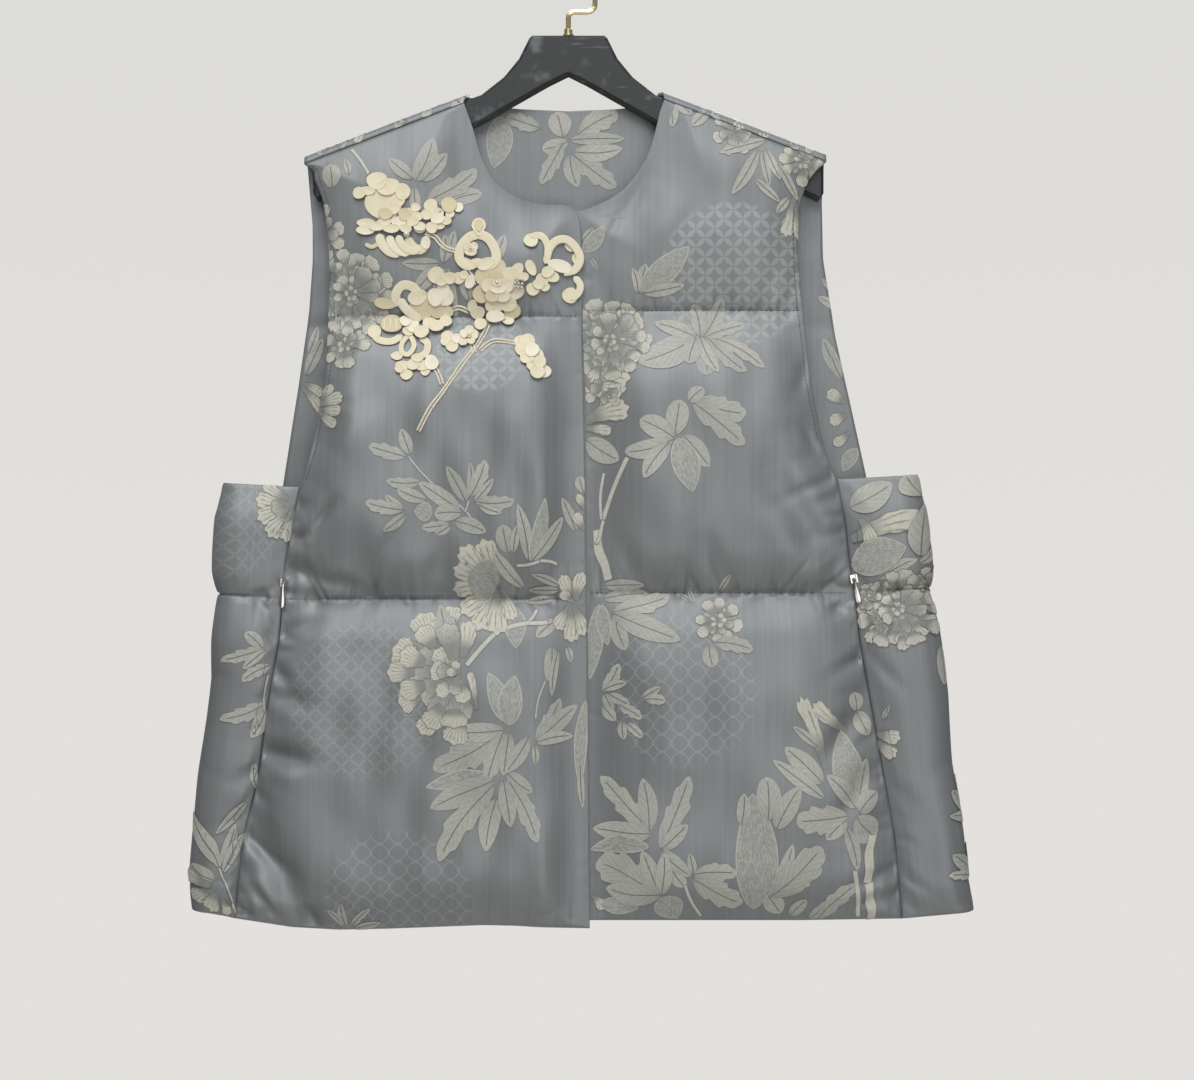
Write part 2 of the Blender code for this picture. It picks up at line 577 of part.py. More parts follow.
class Ground:
    """The outer face of a panel, read straight through along the depth."""

    def __init__(self, outer):
        rows, columns = outer.shape[:2]
        self.tree = BVHTree.FromPolygons([Vector(p) for p in outer.reshape(-1, 3)],
                                         [tuple(face) for face in grid_faces(rows, columns)])

    def depth(self, x, z):
        """Outermost depth of the panel within 3 mm of (x, z)."""
        found = []
        for step_x, step_z in ((0, 0), (3, 0), (-3, 0), (0, 3), (0, -3)):
            hit = self.tree.ray_cast(Vector((x + step_x, -200.0, z + step_z)), Vector((0, 1, 0)))
            if hit[0] is not None:
                found.append(hit[0].y)
        return min(found)


def add_blossom(blossom, ground):
    """Build a flower of flat cut petals in two stepped layers and a raised middle.

    Its rim has one lobe for each petal: radius = R (1 - notch (1 - |sin(n a / 2)|)).
    """
    spokes = blossom.petals * 4
    angle = np.linspace(0.0, 2 * np.pi, spokes, endpoint=False)
    lobe = 1.0 - 0.28 * (1.0 - np.abs(np.sin(blossom.petals * angle / 2)))
    angle = angle + math.radians(blossom.turn_deg)
    top_rings = [(0.22, 3.4), (0.34, 2.6), (0.56, 2.4), (0.66, 1.3), (1.0, 1.1)]
    bottom_rings = [(1.0, 0.0), (0.6, 0.0)]
    points, faces = [], []

    def add_point(x, z, height):
        points.append((x, ground.depth(x, z) - APPLIQUE_GAP - height, z))

    add_point(blossom.x, blossom.z, 3.6)
    for share, height in top_rings + bottom_rings:
        reach = blossom.radius * share * (lobe if share > 0.3 else np.ones(spokes))
        for x, z in zip(blossom.x + reach * np.cos(angle), blossom.z + reach * np.sin(angle)):
            add_point(x, z, height)
    add_point(blossom.x, blossom.z, 0.0)
    last = len(points) - 1
    rings = len(top_rings) + len(bottom_rings)
    for k in range(spokes):
        after = (k + 1) % spokes
        faces.append([0, 1 + k, 1 + after])
        for ring in range(rings - 1):
            here, there = 1 + ring * spokes, 1 + (ring + 1) * spokes
            faces.append([here + k, there + k, there + after, here + after])
        end = 1 + (rings - 1) * spokes
        faces.append([end + k, last, end + after])
    return add_solid(blossom.name, points, faces, "petal")


def add_ribbon(ribbon, ground):
    """Build a cut petal, scroll or couched cord: a flat strip carried along a curve.

    Petals swell to their full width in the middle; cords keep theirs and are rounded on top.
    """
    cord = ribbon.name.startswith("stem")
    path = catmull_rom(ribbon.points, 4 * (len(ribbon.points) - 1))
    along = np.gradient(path, axis=0)
    along /= np.linalg.norm(along, axis=1)[:, None]
    across = np.stack([-along[:, 1], along[:, 0]], 1)
    place = np.linspace(0.0, 1.0, len(path))
    swell = 1.0 if cord else np.sqrt(np.clip(np.sin(np.pi * (0.04 + 0.92 * place)), 0.05, 1.0))
    half = ribbon.width / 2 * swell * np.ones(len(path))
    profile = [(-1.0, 0.0), (1.0, 0.0), (0.8, ribbon.height), (-0.8, ribbon.height)]
    points, faces = [], []
    for centre, side, reach in zip(path, across, half):
        for offset, height in profile:
            x, z = centre + side * reach * offset
            points.append((x, ground.depth(x, z) - APPLIQUE_GAP - height, z))
    stations = len(path)
    for k in range(stations - 1):
        for edge in range(4):
            after = (edge + 1) % 4
            faces.append([4 * k + edge, 4 * k + after, 4 * k + 4 + after, 4 * k + 4 + edge])
    faces += [[0, 1, 2, 3], [4 * stations - 4 + k for k in (3, 2, 1, 0)]]
    return add_solid(ribbon.name, points, faces, "cord" if cord else "petal")


def add_hanger():
    """Build the flat hanger: its outline, bevelled towards both faces."""
    arm_top = [(x, z - EDGE_WALL - SADDLE_CLEAR) for x, z in TOP_LINE[2:4]]
    half = HANGER_TOP + arm_top + HANGER_TIP + HANGER_UNDER
    outline = np.array(half + [(-x, z) for x, z in half[-2:0:-1]])
    ahead, behind = np.roll(outline, -1, 0) - outline, outline - np.roll(outline, 1, 0)
    normal = np.stack([ahead[:, 1] + behind[:, 1], -ahead[:, 0] - behind[:, 0]], 1)
    normal /= np.linalg.norm(normal, axis=1)[:, None]
    inset = outline + normal * HANGER_BEVEL
    face_y = HANGER_THICK / 2
    rings = [(inset, -face_y), (outline, -face_y + HANGER_BEVEL),
             (outline, face_y - HANGER_BEVEL), (inset, face_y)]
    count = len(outline)
    points = [(x, y, z) for ring, y in rings for x, z in ring]
    faces = [list(range(count)), [3 * count + k for k in range(count)][::-1]]
    for ring in range(3):
        for k in range(count):
            after = (k + 1) % count
            faces.append([ring * count + k, (ring + 1) * count + k,
                          (ring + 1) * count + after, ring * count + after])
    return add_solid("hanger", points, faces, "plastic")


def arc(centre_x, centre_z, radius, start_deg, end_deg, steps):
    """Points on a circle in the hanger's plane."""
    angle = np.radians(np.linspace(start_deg, end_deg, steps + 1))
    return [(centre_x + radius * math.cos(a), centre_z + radius * math.sin(a)) for a in angle]


def add_hook():
    """Build the wire hook: stem, bend, short run, then round over the top."""
    bend = 4.0
    path = [(0.0, HANGER_TOP[0][1] + 0.3), (0.0, STEM_RUN_Z - bend - 4.0)]
    path += arc(bend, STEM_RUN_Z - bend, bend, 180, 90, 4)
    path += arc(HOOK_RADIUS - 6.0, STEM_RUN_Z + 6.0, 6.0, -90, 0, 4)
    path += arc(0.0, HOOK_CENTRE_Z, HOOK_RADIUS, 0, 205, 16)
    path = np.array(path)
    along = np.gradient(path, axis=0)
    along /= np.linalg.norm(along, axis=1)[:, None]
    sides = 8
    points, faces = [], []
    for (x, z), (run_x, run_z) in zip(path, along):
        for k in range(sides):
            turn = 2 * math.pi * k / sides
            out = WIRE_RADIUS * math.cos(turn)
            points.append((x + run_z * out, WIRE_RADIUS * math.sin(turn), z - run_x * out))
    for ring in range(len(path) - 1):
        for k in range(sides):
            after = (k + 1) % sides
            faces.append([ring * sides + k, ring * sides + after,
                          (ring + 1) * sides + after, (ring + 1) * sides + k])
    faces += [list(range(sides)), [(len(path) - 1) * sides + k for k in range(sides)][::-1]]
    return add_solid("hook", points, faces, "gold", smooth=True)


def add_hook_collar():
    """Build the turned collar round the foot of the hook, with its washer."""
    base = HANGER_TOP[0][1] + 0.3
    bore = WIRE_RADIUS + 0.3
    profile = [(bore, base), (4.2, base), (4.2, base + 1.2), (3.1, base + 1.6),
               (3.1, base + 5.0), (2.7, base + 5.6), (bore, base + 5.6)]
    sides = 14
    points, faces = [], []
    for k in range(sides):
        turn = 2 * math.pi * k / sides
        points += [(r * math.cos(turn), r * math.sin(turn), z) for r, z in profile]
    count = len(profile)
    for k in range(sides):
        after = (k + 1) % sides
        for edge in range(count):
            nxt = (edge + 1) % count
            faces.append([k * count + edge, after * count + edge, after * count + nxt,
                          k * count + nxt])
    return add_solid("hook_collar", points, faces, "gold")


def zip_frame(side):
    """Place of a zip's hinge, and unit directions across and down its seam."""
    zipper = ZIPS[side]
    lean = math.radians(zipper.lean_deg)
    down = Vector((math.sin(lean), 0.0, -math.cos(lean)))
    across = Vector((math.cos(lean), 0.0, math.sin(lean)))
    seam_y = front_plane(zipper.z) - EDGE_WALL
    return Vector((zipper.x, seam_y - ZIP_SEAT - 2.8, zipper.z)), across, down


def add_zip(side):
    """Build a zip's slider, a channel with two ears, and the teardrop pull between them."""
    hinge, across, down = zip_frame(side)
    channel = [(-2.6, 2.8), (2.6, 2.8), (2.6, -1.2), (1.7, -1.2), (1.7, 1.6), (-1.7, 1.6),
               (-1.7, -1.2), (-2.6, -1.2)]
    points, faces = [], []
    for end in (-3.5, 2.6):
        for wide, deep in channel:
            points.append(hinge + across * wide + Vector((0, deep, 0)) + down * end)
    count = len(channel)
    faces = [list(range(count)), [count + k for k in range(count)][::-1]]
    for k in range(count):
        after = (k + 1) % count
        faces.append([k, after, count + after, count + k])
    add_solid(f"zip_slider_{side}", points, faces, "silver")

    Station = namedtuple("Station", "down half_width half_thick")
    stations = [Station(-1.1, 0.35, 0.3), Station(-0.7, 1.0, 0.8), Station(0.0, 1.25, 1.0),
                Station(1.0, 1.1, 0.8), Station(3.0, 0.9, 0.6), Station(6.0, 1.1, 0.6),
                Station(10.0, 1.8, 0.7), Station(13.5, 2.3, 0.8), Station(16.0, 2.2, 0.8),
                Station(17.6, 1.3, 0.7), Station(18.2, 0.5, 0.4)]
    sides = 8
    points, faces = [], []
    for station in stations:
        for k in range(sides):
            turn = 2 * math.pi * k / sides
            points.append(across * station.half_width * math.cos(turn)
                          + Vector((0, station.half_thick * math.sin(turn), 0))
                          + down * station.down)
    for ring in range(len(stations) - 1):
        for k in range(sides):
            after = (k + 1) % sides
            faces.append([ring * sides + k, ring * sides + after,
                          (ring + 1) * sides + after, (ring + 1) * sides + k])
    faces += [list(range(sides)), [(len(stations) - 1) * sides + k for k in range(sides)][::-1]]
    pull = add_solid(f"zip_pull_{side}", points, faces, "silver", smooth=True)
    pull.location = hinge * MM


LEFT_CENTRE = [Edge(row.inner_x, row.inner_z) for row in LEFT_YOKE[7:] + LEFT_MID + LEFT_SKIRT]
SEAM_LEVELS = {}


def main():
    """Build every piece of the waistcoat and its hanger."""
    clear_scene()
    left = Front("left", (LEFT_YOKE, LEFT_MID, LEFT_LOW, LEFT_SKIRT), LEFT_HEM,
                 LEFT_CHEST, LEFT_WAIST, LEFT_FOLDS)
    right = Front("right", (RIGHT_YOKE, RIGHT_MID, RIGHT_LOW, RIGHT_SKIRT), RIGHT_HEM,
                  RIGHT_CHEST, RIGHT_WAIST, RIGHT_FOLDS)
    for front in (left, right):
        front.build()
        SEAM_LEVELS[front.side] = front.seam_rows()[:, 1]
    add_side(left, LEFT_FOLD, BACK_LEFT, LEFT_SIDE_TOP, LEFT_SIDE_HEM)
    add_side(right, RIGHT_FOLD, BACK_RIGHT, RIGHT_SIDE_TOP, RIGHT_SIDE_HEM)
    add_back()
    ground = Ground(left.outer)
    for blossom in BLOSSOMS:
        add_blossom(blossom, ground)
    for ribbon in RIBBONS:
        add_ribbon(ribbon, ground)
    add_hanger()
    add_hook()
    add_hook_collar()
    for side in ZIPS:
        add_zip(side)


main()
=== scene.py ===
"""Looks of the padded silk waistcoat on its hanger.

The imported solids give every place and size; this script lays the fine cloth, its woven pattern,
the cut-petal spray, the sewing and the finishes over them. Sizes in the tables are millimetres,
x to the right and z up as seen from the front, -y out of the fronts.
"""
from __future__ import annotations

import json
import logging
import math
from dataclasses import dataclass, field
from enum import Enum
from typing import Callable, NamedTuple

import bpy
import numpy as np
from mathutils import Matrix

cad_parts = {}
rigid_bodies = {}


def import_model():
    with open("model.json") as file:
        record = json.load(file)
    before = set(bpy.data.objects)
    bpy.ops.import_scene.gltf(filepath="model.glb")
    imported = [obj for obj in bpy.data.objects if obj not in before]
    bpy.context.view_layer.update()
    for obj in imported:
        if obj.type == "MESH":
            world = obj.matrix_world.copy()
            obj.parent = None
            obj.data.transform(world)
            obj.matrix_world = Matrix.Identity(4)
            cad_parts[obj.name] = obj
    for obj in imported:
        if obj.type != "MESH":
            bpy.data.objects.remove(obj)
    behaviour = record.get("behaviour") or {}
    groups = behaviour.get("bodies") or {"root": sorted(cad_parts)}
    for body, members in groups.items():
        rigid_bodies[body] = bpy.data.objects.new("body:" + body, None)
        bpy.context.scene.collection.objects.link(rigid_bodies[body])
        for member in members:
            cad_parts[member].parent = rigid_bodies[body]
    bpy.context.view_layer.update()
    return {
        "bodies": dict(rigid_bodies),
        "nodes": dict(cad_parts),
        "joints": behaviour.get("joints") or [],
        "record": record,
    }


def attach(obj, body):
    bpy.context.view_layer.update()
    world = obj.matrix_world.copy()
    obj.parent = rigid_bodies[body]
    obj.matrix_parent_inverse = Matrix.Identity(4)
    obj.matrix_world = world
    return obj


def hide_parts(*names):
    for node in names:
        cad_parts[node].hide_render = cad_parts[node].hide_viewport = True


MM = 0.001
SIM_SCALE = 0.01
LOG = logging.getLogger("waistcoat")
ROOT_BODY = "garment"
FIGURE_MARKS = ("rib", "far", "rim", "sort", "shade", "size")
CLOTH_SETTINGS = {"quality": 5, "mass": 0.2, "tension_stiffness": 20.0,
                  "compression_stiffness": 12.0, "shear_stiffness": 6.0,
                  "bending_stiffness": 0.08, "air_damping": 2.0,
                  "vertex_group_mass": "held", "use_pressure": True}

# Photograph: its frame, and how its pixels stand for millimetres on the cloth
PHOTO_WIDTH, PHOTO_HEIGHT = 1194, 1080
MM_PER_PIXEL = 0.74
CENTRE_PIXEL_X, TOP_EDGE_Z = 568.0, -34.8

# Cloth walls, as in the solids
EDGE_WALL = 2.8
SEAM_REACH = 34.0
ABOVE_LINE_REACH, BELOW_LINE_REACH = 62.0, 85.0
YOKE_PUFF, BODY_PUFF, SIDE_PUFF = 8.5, 12.0, 6.5
LAP_WIDTH, LAP_LIFT, LAP_EASE, LAP_SHOWS = 26.0, 4.4, 28.0, 1.0
SEAM_GAP = 0.35
CENTRE_X = 12.0
ARMHOLE_INSET, ARMHOLE_ROWS, QUILT_ROWS = 4.0, 14, (9, 16)
HANGER_CLEAR, HANGER_THICK, HANGER_BEVEL = 0.5, 12.0, 2.4
FRONT_DROP, BACK_DROP = 7.5, 4.0
OPENS_FROM, OPENS_OVER = -165.0, 300.0
SHOULDER_DROP = 6.5
LEFT_CHEST, RIGHT_CHEST, BACK_CHEST = -267.9, -263.4, -273.0
LEFT_WAIST, RIGHT_WAIST = -478.0, -473.5
BACK_WAIST = (LEFT_WAIST + RIGHT_WAIST) / 2


class Edge(NamedTuple):
    """A point of an edge, seen from the front."""

    x: float
    z: float


class Row(NamedTuple):
    """A ruled line across a front: armhole or side seam, to neckline or centre front."""

    outer_x: float
    outer_z: float
    inner_x: float
    inner_z: float


class Fold(NamedTuple):
    """A soft trough in the padding, from one point to another."""

    x0: float
    z0: float
    x1: float
    z1: float
    half_width: float
    depth: float


def read_rows(text: str) -> list[list[float]]:
    """Read rows of numbers, parted by semicolons."""
    return [[float(value) for value in row.split()] for row in text.split(";") if row.strip()]


def read_table(kind: type, text: str) -> list:
    """Read rows of numbers as tuples of one kind."""
    return [kind(*row) for row in read_rows(text)]


TOP_LINE = read_table(Edge, """
    0 -74; 65.1 -97.4; 78.9 -102.6; 126.7 -120.6; 198 -148.2""")


def edge_x(table: list[Edge], z: np.ndarray) -> np.ndarray:
    """Read an edge's x at heights z."""
    ordered = sorted(table, key=lambda edge: edge.z)
    return np.interp(z, [edge.z for edge in ordered], [edge.x for edge in ordered])


def edge_z(table: list[Edge], x: np.ndarray | float) -> np.ndarray:
    """Read an edge's height at x."""
    ordered = sorted(table)
    return np.interp(x, [edge.x for edge in ordered], [edge.z for edge in ordered])


def top_line(x: np.ndarray | float) -> np.ndarray:
    """Height of the cloth over the hanger at x, the same on both sides."""
    return edge_z(TOP_LINE, np.abs(x))


def shoulder_seam(x: float) -> float:
    """Height of the shoulder seam at x, in front of the hanger."""
    return float(top_line(x)) - SHOULDER_DROP


LEFT_ROWS = [
    Row(-196.8, shoulder_seam(-196.8), -77.7, shoulder_seam(-77.7)),
    Row(-190.2, -158.9, -74.0, -119.0), Row(-188.7, -166.5, -70.0, -131.0),
    Row(-185.6, -174.0, -65.1, -148.0), Row(-182.2, -184.0, -56.0, -165.5),
    Row(-180.6, -193.2, -43.0, -176.5), Row(-179.2, -205.0, -24.0, -184.6),
    Row(-178.2, -216.0, 5.9, -190.6), Row(-177.6, -240.0, 9.6, -234.6),
    Row(-178.3, LEFT_CHEST, 9.8, LEFT_CHEST), Row(-180.2, -308.6, 10.8, -308.6),
    Row(-185.0, -338.2, 11.4, -338.2), Row(-190.4, -363.8, 11.9, -363.8),
    Row(-198.8, -395.2, 12.3, -395.2), Row(-204.3, -421.1, 12.6, -421.1),
    Row(-209.2, -450.0, 13.0, -450.0), Row(-212.0, LEFT_WAIST, 13.3, LEFT_WAIST),
    Row(-214.1, -508.4, 13.7, -508.4), Row(-222.1, -552.8, 14.2, -552.8),
    Row(-230.1, -612.0, 14.9, -612.0), Row(-240.7, -656.4, 15.3, -656.4),
    Row(-247.2, -714.9, 16.1, -721.5),
]
RIGHT_ROWS = [
    Row(192.4, shoulder_seam(192.4), 71.5, shoulder_seam(71.5)),
    Row(185.0, -158.5, 68.4, -115.0), Row(179.0, -166.5, 66.0, -125.1),
    Row(175.5, -176.0, 61.0, -143.0), Row(172.4, -187.0, 53.5, -158.0),
    Row(171.2, -200.4, 37.4, -176.1), Row(171.2, -212.0, 10.4, -188.9),
    Row(171.7, -221.9, -14.0, -191.5), Row(172.6, -243.0, -14.0, -231.0),
    Row(174.8, RIGHT_CHEST, -14.0, RIGHT_CHEST), Row(177.8, -290.0, -14.0, -290.0),
    Row(180.0, -312.7, -14.0, -312.7), Row(183.9, -336.0, -14.0, -336.0),
    Row(190.0, -364.0, -14.0, -364.0), Row(199.1, -389.3, -13.0, -389.3),
    Row(205.3, -421.6, -13.0, -421.6), Row(208.6, -450.0, -13.0, -450.0),
    Row(212.4, RIGHT_WAIST, -12.0, RIGHT_WAIST), Row(216.1, -508.4, -12.0, -508.4),
    Row(224.2, -555.0, -11.0, -555.0), Row(233.0, -604.0, -11.0, -604.0),
    Row(242.0, -656.4, -10.0, -656.4), Row(247.6, -715.1, -10.0, -716.3),
]
LEFT_HEM = read_table(Edge, """
    -247.2 -714.9; -205 -721.4; -170 -723.4; -134.2 -722.7; -62.9 -720; 16.1 -721.5""")
RIGHT_HEM = read_table(Edge, """
    -10 -716.3; 172.4 -716.3; 247.6 -715.1""")
BACK_LEFT = read_table(Edge, """
    -196.8 -150; -192.8 -197.6; -192.8 -224.2; -195.4 -260.5; -200 -293.8; -211.6 -367.8;
    -216 -395.2; -222 -478; -244 -712""")
BACK_RIGHT = read_table(Edge, """
    192.4 -150; 190.8 -180; 191.9 -223.5; 201.5 -282.7; 214.6 -340.8; 225.4 -389.3; 233 -473.5;
    262 -712""")
BACK_NECK = read_table(Edge, """
    0 -111.4; 35 -110; 60 -107.5; 72 -105.8""")
LEFT_NECK_TURN, RIGHT_NECK_TURN = (72.0, 78.0), (66.0, 72.0)
LEFT_FOLD = read_table(Edge, """
    -258.6 -391.5; -264.4 -417.4; -266.2 -443.3; -267.2 -480; -268.4 -536.5; -276.8 -612;
    -281.2 -652; -283.9 -682.3; -282 -708.9""")
RIGHT_FOLD = read_table(Edge, """
    262 -385; 266.8 -409.2; 271.2 -439.6; 276.8 -485.8; 284.6 -549.5; 288.4 -600.2; 296 -651.2;
    303.7 -710""")
ZIP_PLACES = [Edge(-210.9, -466.5), Edge(211.6, -463.5)]
ZIP_DIMPLE = 22.0


class Side(Enum):
    """Side of the garment, as seen from the front."""

    LEFT = "left"
    RIGHT = "right"

    @property
    def sign(self) -> float:
        """-1 on the left, +1 on the right."""
        return -1.0 if self is Side.LEFT else 1.0


def smooth_step(value: np.ndarray | float) -> np.ndarray:
    """Soft ramp 3v^2 - 2v^3 of a value held between 0 and 1."""
    value = np.clip(value, 0.0, 1.0)
    return value * value * (3.0 - 2.0 * value)


def rise(distance: np.ndarray, reach: np.ndarray | float,
         full: np.ndarray | float = 0.7) -> np.ndarray:
    """Rise of the padding, 1 from reach on: a quarter-round's share full, the rest a soft ramp."""
    part = np.clip(distance / reach, 0.0, 1.0)
    return full * np.sqrt(1.0 - (1.0 - part) ** 2) + (1.0 - full) * smooth_step(part)


def eased(count: int, ends: float = 0.55) -> np.ndarray:
    """Steps from 0 to 1, closer at both ends: a blend of a cosine ramp and a straight one.

    Args:
        count: number of steps.
        ends: share of the cosine ramp.

    Returns:
        count + 1 values.
    """
    step = np.linspace(0.0, 1.0, count + 1)
    return ends * (0.5 - 0.5 * np.cos(np.pi * step)) + (1.0 - ends) * step


def smooth_curve(points: np.ndarray, place: np.ndarray) -> np.ndarray:
    """Catmull-Rom curve through rows of points, read at places counted in rows.

    Args:
        points: (n, k) rows to pass through.
        place: positions from 0 to n - 1.

    Returns:
        One row of k values for each place.
    """
    padded = np.vstack([2 * points[0] - points[1], points, 2 * points[-1] - points[-2]])
    index = np.clip(place.astype(int), 0, len(points) - 2)
    t = (place - index)[:, None]
    p0, p1, p2, p3 = (padded[index + k] for k in range(4))
    return 0.5 * (2 * p1 + (p2 - p0) * t + (2 * p0 - 5 * p1 + 4 * p2 - p3) * t ** 2
                  + (3 * p1 - p0 - 3 * p2 + p3) * t ** 3)


def segment_distance(x: np.ndarray, z: np.ndarray, x0: float, z0: float, x1: float,
                     z1: float) -> tuple[np.ndarray, np.ndarray]:
    """Distance from points to a segment, and how far along it the nearest point is."""
    run_x, run_z = x1 - x0, z1 - z0
    along = np.clip(((x - x0) * run_x + (z - z0) * run_z) / (run_x ** 2 + run_z ** 2), 0.0, 1.0)
    return np.hypot(x - x0 - along * run_x, z - z0 - along * run_z), along


def path_distance(x: np.ndarray, z: np.ndarray, path: list) -> np.ndarray:
    """Shortest distance from points to a path of (x, z) pairs."""
    nearest = np.full(np.shape(x), np.inf)
    for (x0, z0), (x1, z1) in zip(path, path[1:]):
        nearest = np.minimum(nearest, segment_distance(x, z, x0, z0, x1, z1)[0])
    return nearest


def outline_distance(x: np.ndarray, z: np.ndarray, outline: list) -> np.ndarray:
    """Shortest distance from points to a closed outline of (x, z) pairs."""
    return path_distance(x, z, [*outline, outline[0]])


def zip_dimple(x: np.ndarray, z: np.ndarray) -> np.ndarray:
    """Share of the padding left near the pocket zips, where their slit pinches it."""
    share = np.ones(np.shape(x))
    for place in ZIP_PLACES:
        near = (x - place.x) ** 2 + (z - place.z + 6.0) ** 2
        share = share * (1.0 - 0.95 * np.exp(-near / ZIP_DIMPLE ** 2))
    return share


def opening(z: np.ndarray) -> np.ndarray:
    """How far the fronts and the back have opened from the hanger at height z."""
    return smooth_step((OPENS_FROM - z) / OPENS_OVER)


def front_plane(z: np.ndarray) -> np.ndarray:
    """Depth of the plain inner face of the fronts."""
    return -(HANGER_THICK / 2 + HANGER_CLEAR) - FRONT_DROP * opening(z)


def back_plane(z: np.ndarray) -> np.ndarray:
    """Depth of the plain inner face of the back."""
    return HANGER_THICK / 2 + HANGER_CLEAR + BACK_DROP * opening(z)


def soft_cloud(u: np.ndarray, v: np.ndarray, seed: int, wave: float) -> np.ndarray:
    """Slow undulation between about -1 and 1: a sum of eight plane waves of mixed length.

    Args:
        u, v: flat coordinates in millimetres.
        seed: picks directions, lengths and phases.
        wave: middle wavelength in millimetres.

    Returns:
        The height at each point.
    """
    random = np.random.default_rng(seed)
    height = np.zeros(np.shape(u))
    for _ in range(8):
        turn, phase = random.uniform(0, 2 * np.pi, 2)
        length = wave * random.uniform(0.6, 1.7)
        height += np.sin((u * np.cos(turn) + v * np.sin(turn)) * 2 * np.pi / length + phase)
    return height / 3.2


@dataclass(frozen=True)
class PuckerLine:
    """Small creases that a line of stitches gathers, standing off it to one side.

    They are troughs of uneven length, depth and spacing, deepest at the stitches.
    """

    x0: float
    z0: float
    x1: float
    z1: float
    side_x: float
    side_z: float
    spacing: float
    length: float
    depth: float
    half_width: float
    seed: int

    def creases(self) -> list[Fold]:
        """Draw the creases of this line."""
        random = np.random.default_rng(self.seed)
        run = math.hypot(self.x1 - self.x0, self.z1 - self.z0)
        along_x, along_z = (self.x1 - self.x0) / run, (self.z1 - self.z0) / run
        place, found = self.spacing * random.uniform(0.2, 0.8), []
        while place < run:
            length = self.length * random.uniform(0.35, 1.5)
            lean = random.normal(0.0, 0.28)
            x, z = self.x0 + along_x * place, self.z0 + along_z * place
            found.append(Fold(x, z, x + length * (self.side_x + lean * along_x),
                              z + length * (self.side_z + lean * along_z),
                              self.half_width * random.uniform(0.7, 1.4),
                              self.depth * random.uniform(0.3, 1.35)))
            place += self.spacing * random.uniform(0.5, 1.6)
        return found


def finer(grid: np.ndarray, over: float = 1.5, down: float = 1.4) -> np.ndarray:
    """Catmull-Rom curves through rows and columns, read that many times as closely."""
    for axis, times in ((1, over), (0, down)):
        table = np.moveaxis(grid, axis, 0)
        place = np.linspace(0, len(table) - 1, int((len(table) - 1) * times) + 1)
        read = smooth_curve(table.reshape(len(table), -1), place)
        grid = np.moveaxis(read.reshape(len(place), *table.shape[1:]), 0, axis)
    return grid


def crease_relief(x: np.ndarray, z: np.ndarray, creases: list[Fold]) -> np.ndarray:
    """Depth of stitched creases: a bell across each, fading from its foot to its tip."""
    relief = np.zeros(np.shape(x))
    for crease in creases:
        reach = abs(crease.x1 - crease.x0) + abs(crease.z1 - crease.z0) + 5 * crease.half_width
        near = (np.abs(x - crease.x0) < reach) & (np.abs(z - crease.z0) < reach)
        gap, along = segment_distance(x[near], z[near], *crease[:4])
        bell = np.exp(-(gap / crease.half_width) ** 2)
        bell = bell - 0.35 * np.exp(-(gap / crease.half_width / 2.2) ** 2)
        relief[near] += 1.4 * crease.depth * bell * (1.0 - along) ** 1.2
    return relief


def fold_relief(x: np.ndarray, z: np.ndarray, folds: list[Fold]) -> np.ndarray:
    """Depth of the long folds: a trough between raised shoulders, fading at both ends."""
    relief = np.zeros(np.shape(x))
    for fold in folds:
        gap, along = segment_distance(x, z, *fold[:4])
        ends = np.sin(np.pi * (0.06 + 0.88 * along))
        part = gap / fold.half_width
        relief += fold.depth * ends * 1.5 * (np.exp(-part ** 2) - 0.4 * np.exp(-(part / 2) ** 2))
    return relief


def grid_faces(rows: int, columns: int, start: int = 0) -> np.ndarray:
    """Quads of a rows x columns grid of points numbered row by row from start."""
    row, column = np.meshgrid(np.arange(rows - 1), np.arange(columns - 1), indexing="ij")
    corner = (start + row * columns + column).ravel()
    return np.stack([corner, corner + 1, corner + columns + 1, corner + columns], 1)


def quilted(z: np.ndarray, chest: float, waist: float, full_above: float = 0.7,
            full_below: float = 0.7) -> np.ndarray:
    """Puff at heights z: the yoke's or the body's, times its rise from both quilt lines."""
    upper = smooth_step((z - chest) / 4.0 + 0.5)
    puff = YOKE_PUFF * upper + BODY_PUFF * (1.0 - upper)
    for line in (chest, waist):
        above = z > line
        puff = puff * rise(np.abs(z - line), np.where(above, ABOVE_LINE_REACH, BELOW_LINE_REACH),
                           np.where(above, full_above, full_below))
    return puff


def all_creases(lines: list[PuckerLine]) -> list[Fold]:
    """Creases of every line."""
    return [crease for line in lines for crease in line.creases()]


def wall_faces(rows: int, columns: int) -> np.ndarray:
    """Quads of a closed wall between two grids of points, the first one's turned back."""
    count = rows * columns
    index = np.arange(count).reshape(rows, columns)
    rim = np.concatenate([index[0, :-1], index[:-1, -1], index[-1, :0:-1], index[:0:-1, 0]])
    after = np.roll(rim, -1)
    return np.concatenate([grid_faces(rows, columns)[:, ::-1], grid_faces(rows, columns, count),
                           np.stack([rim, after, after + count, rim + count], 1)])


def ring_faces(rings: int, around: int, start: int = 0) -> np.ndarray:
    """Quads between rings of points, each ring closed, numbered from start."""
    row, column = np.meshgrid(np.arange(rings - 1), np.arange(around), indexing="ij")
    first = start + row * around
    low, high = (first + column).ravel(), (first + (column + 1) % around).ravel()
    return np.stack([low, high, high + around, low + around], 1)


def fan_faces(tip: int, first: int, around: int) -> list[list[int]]:
    """Triangles from a tip to the closed ring of points that starts at first."""
    return [[tip, first + (k + 1) % around, first + k] for k in range(around)]


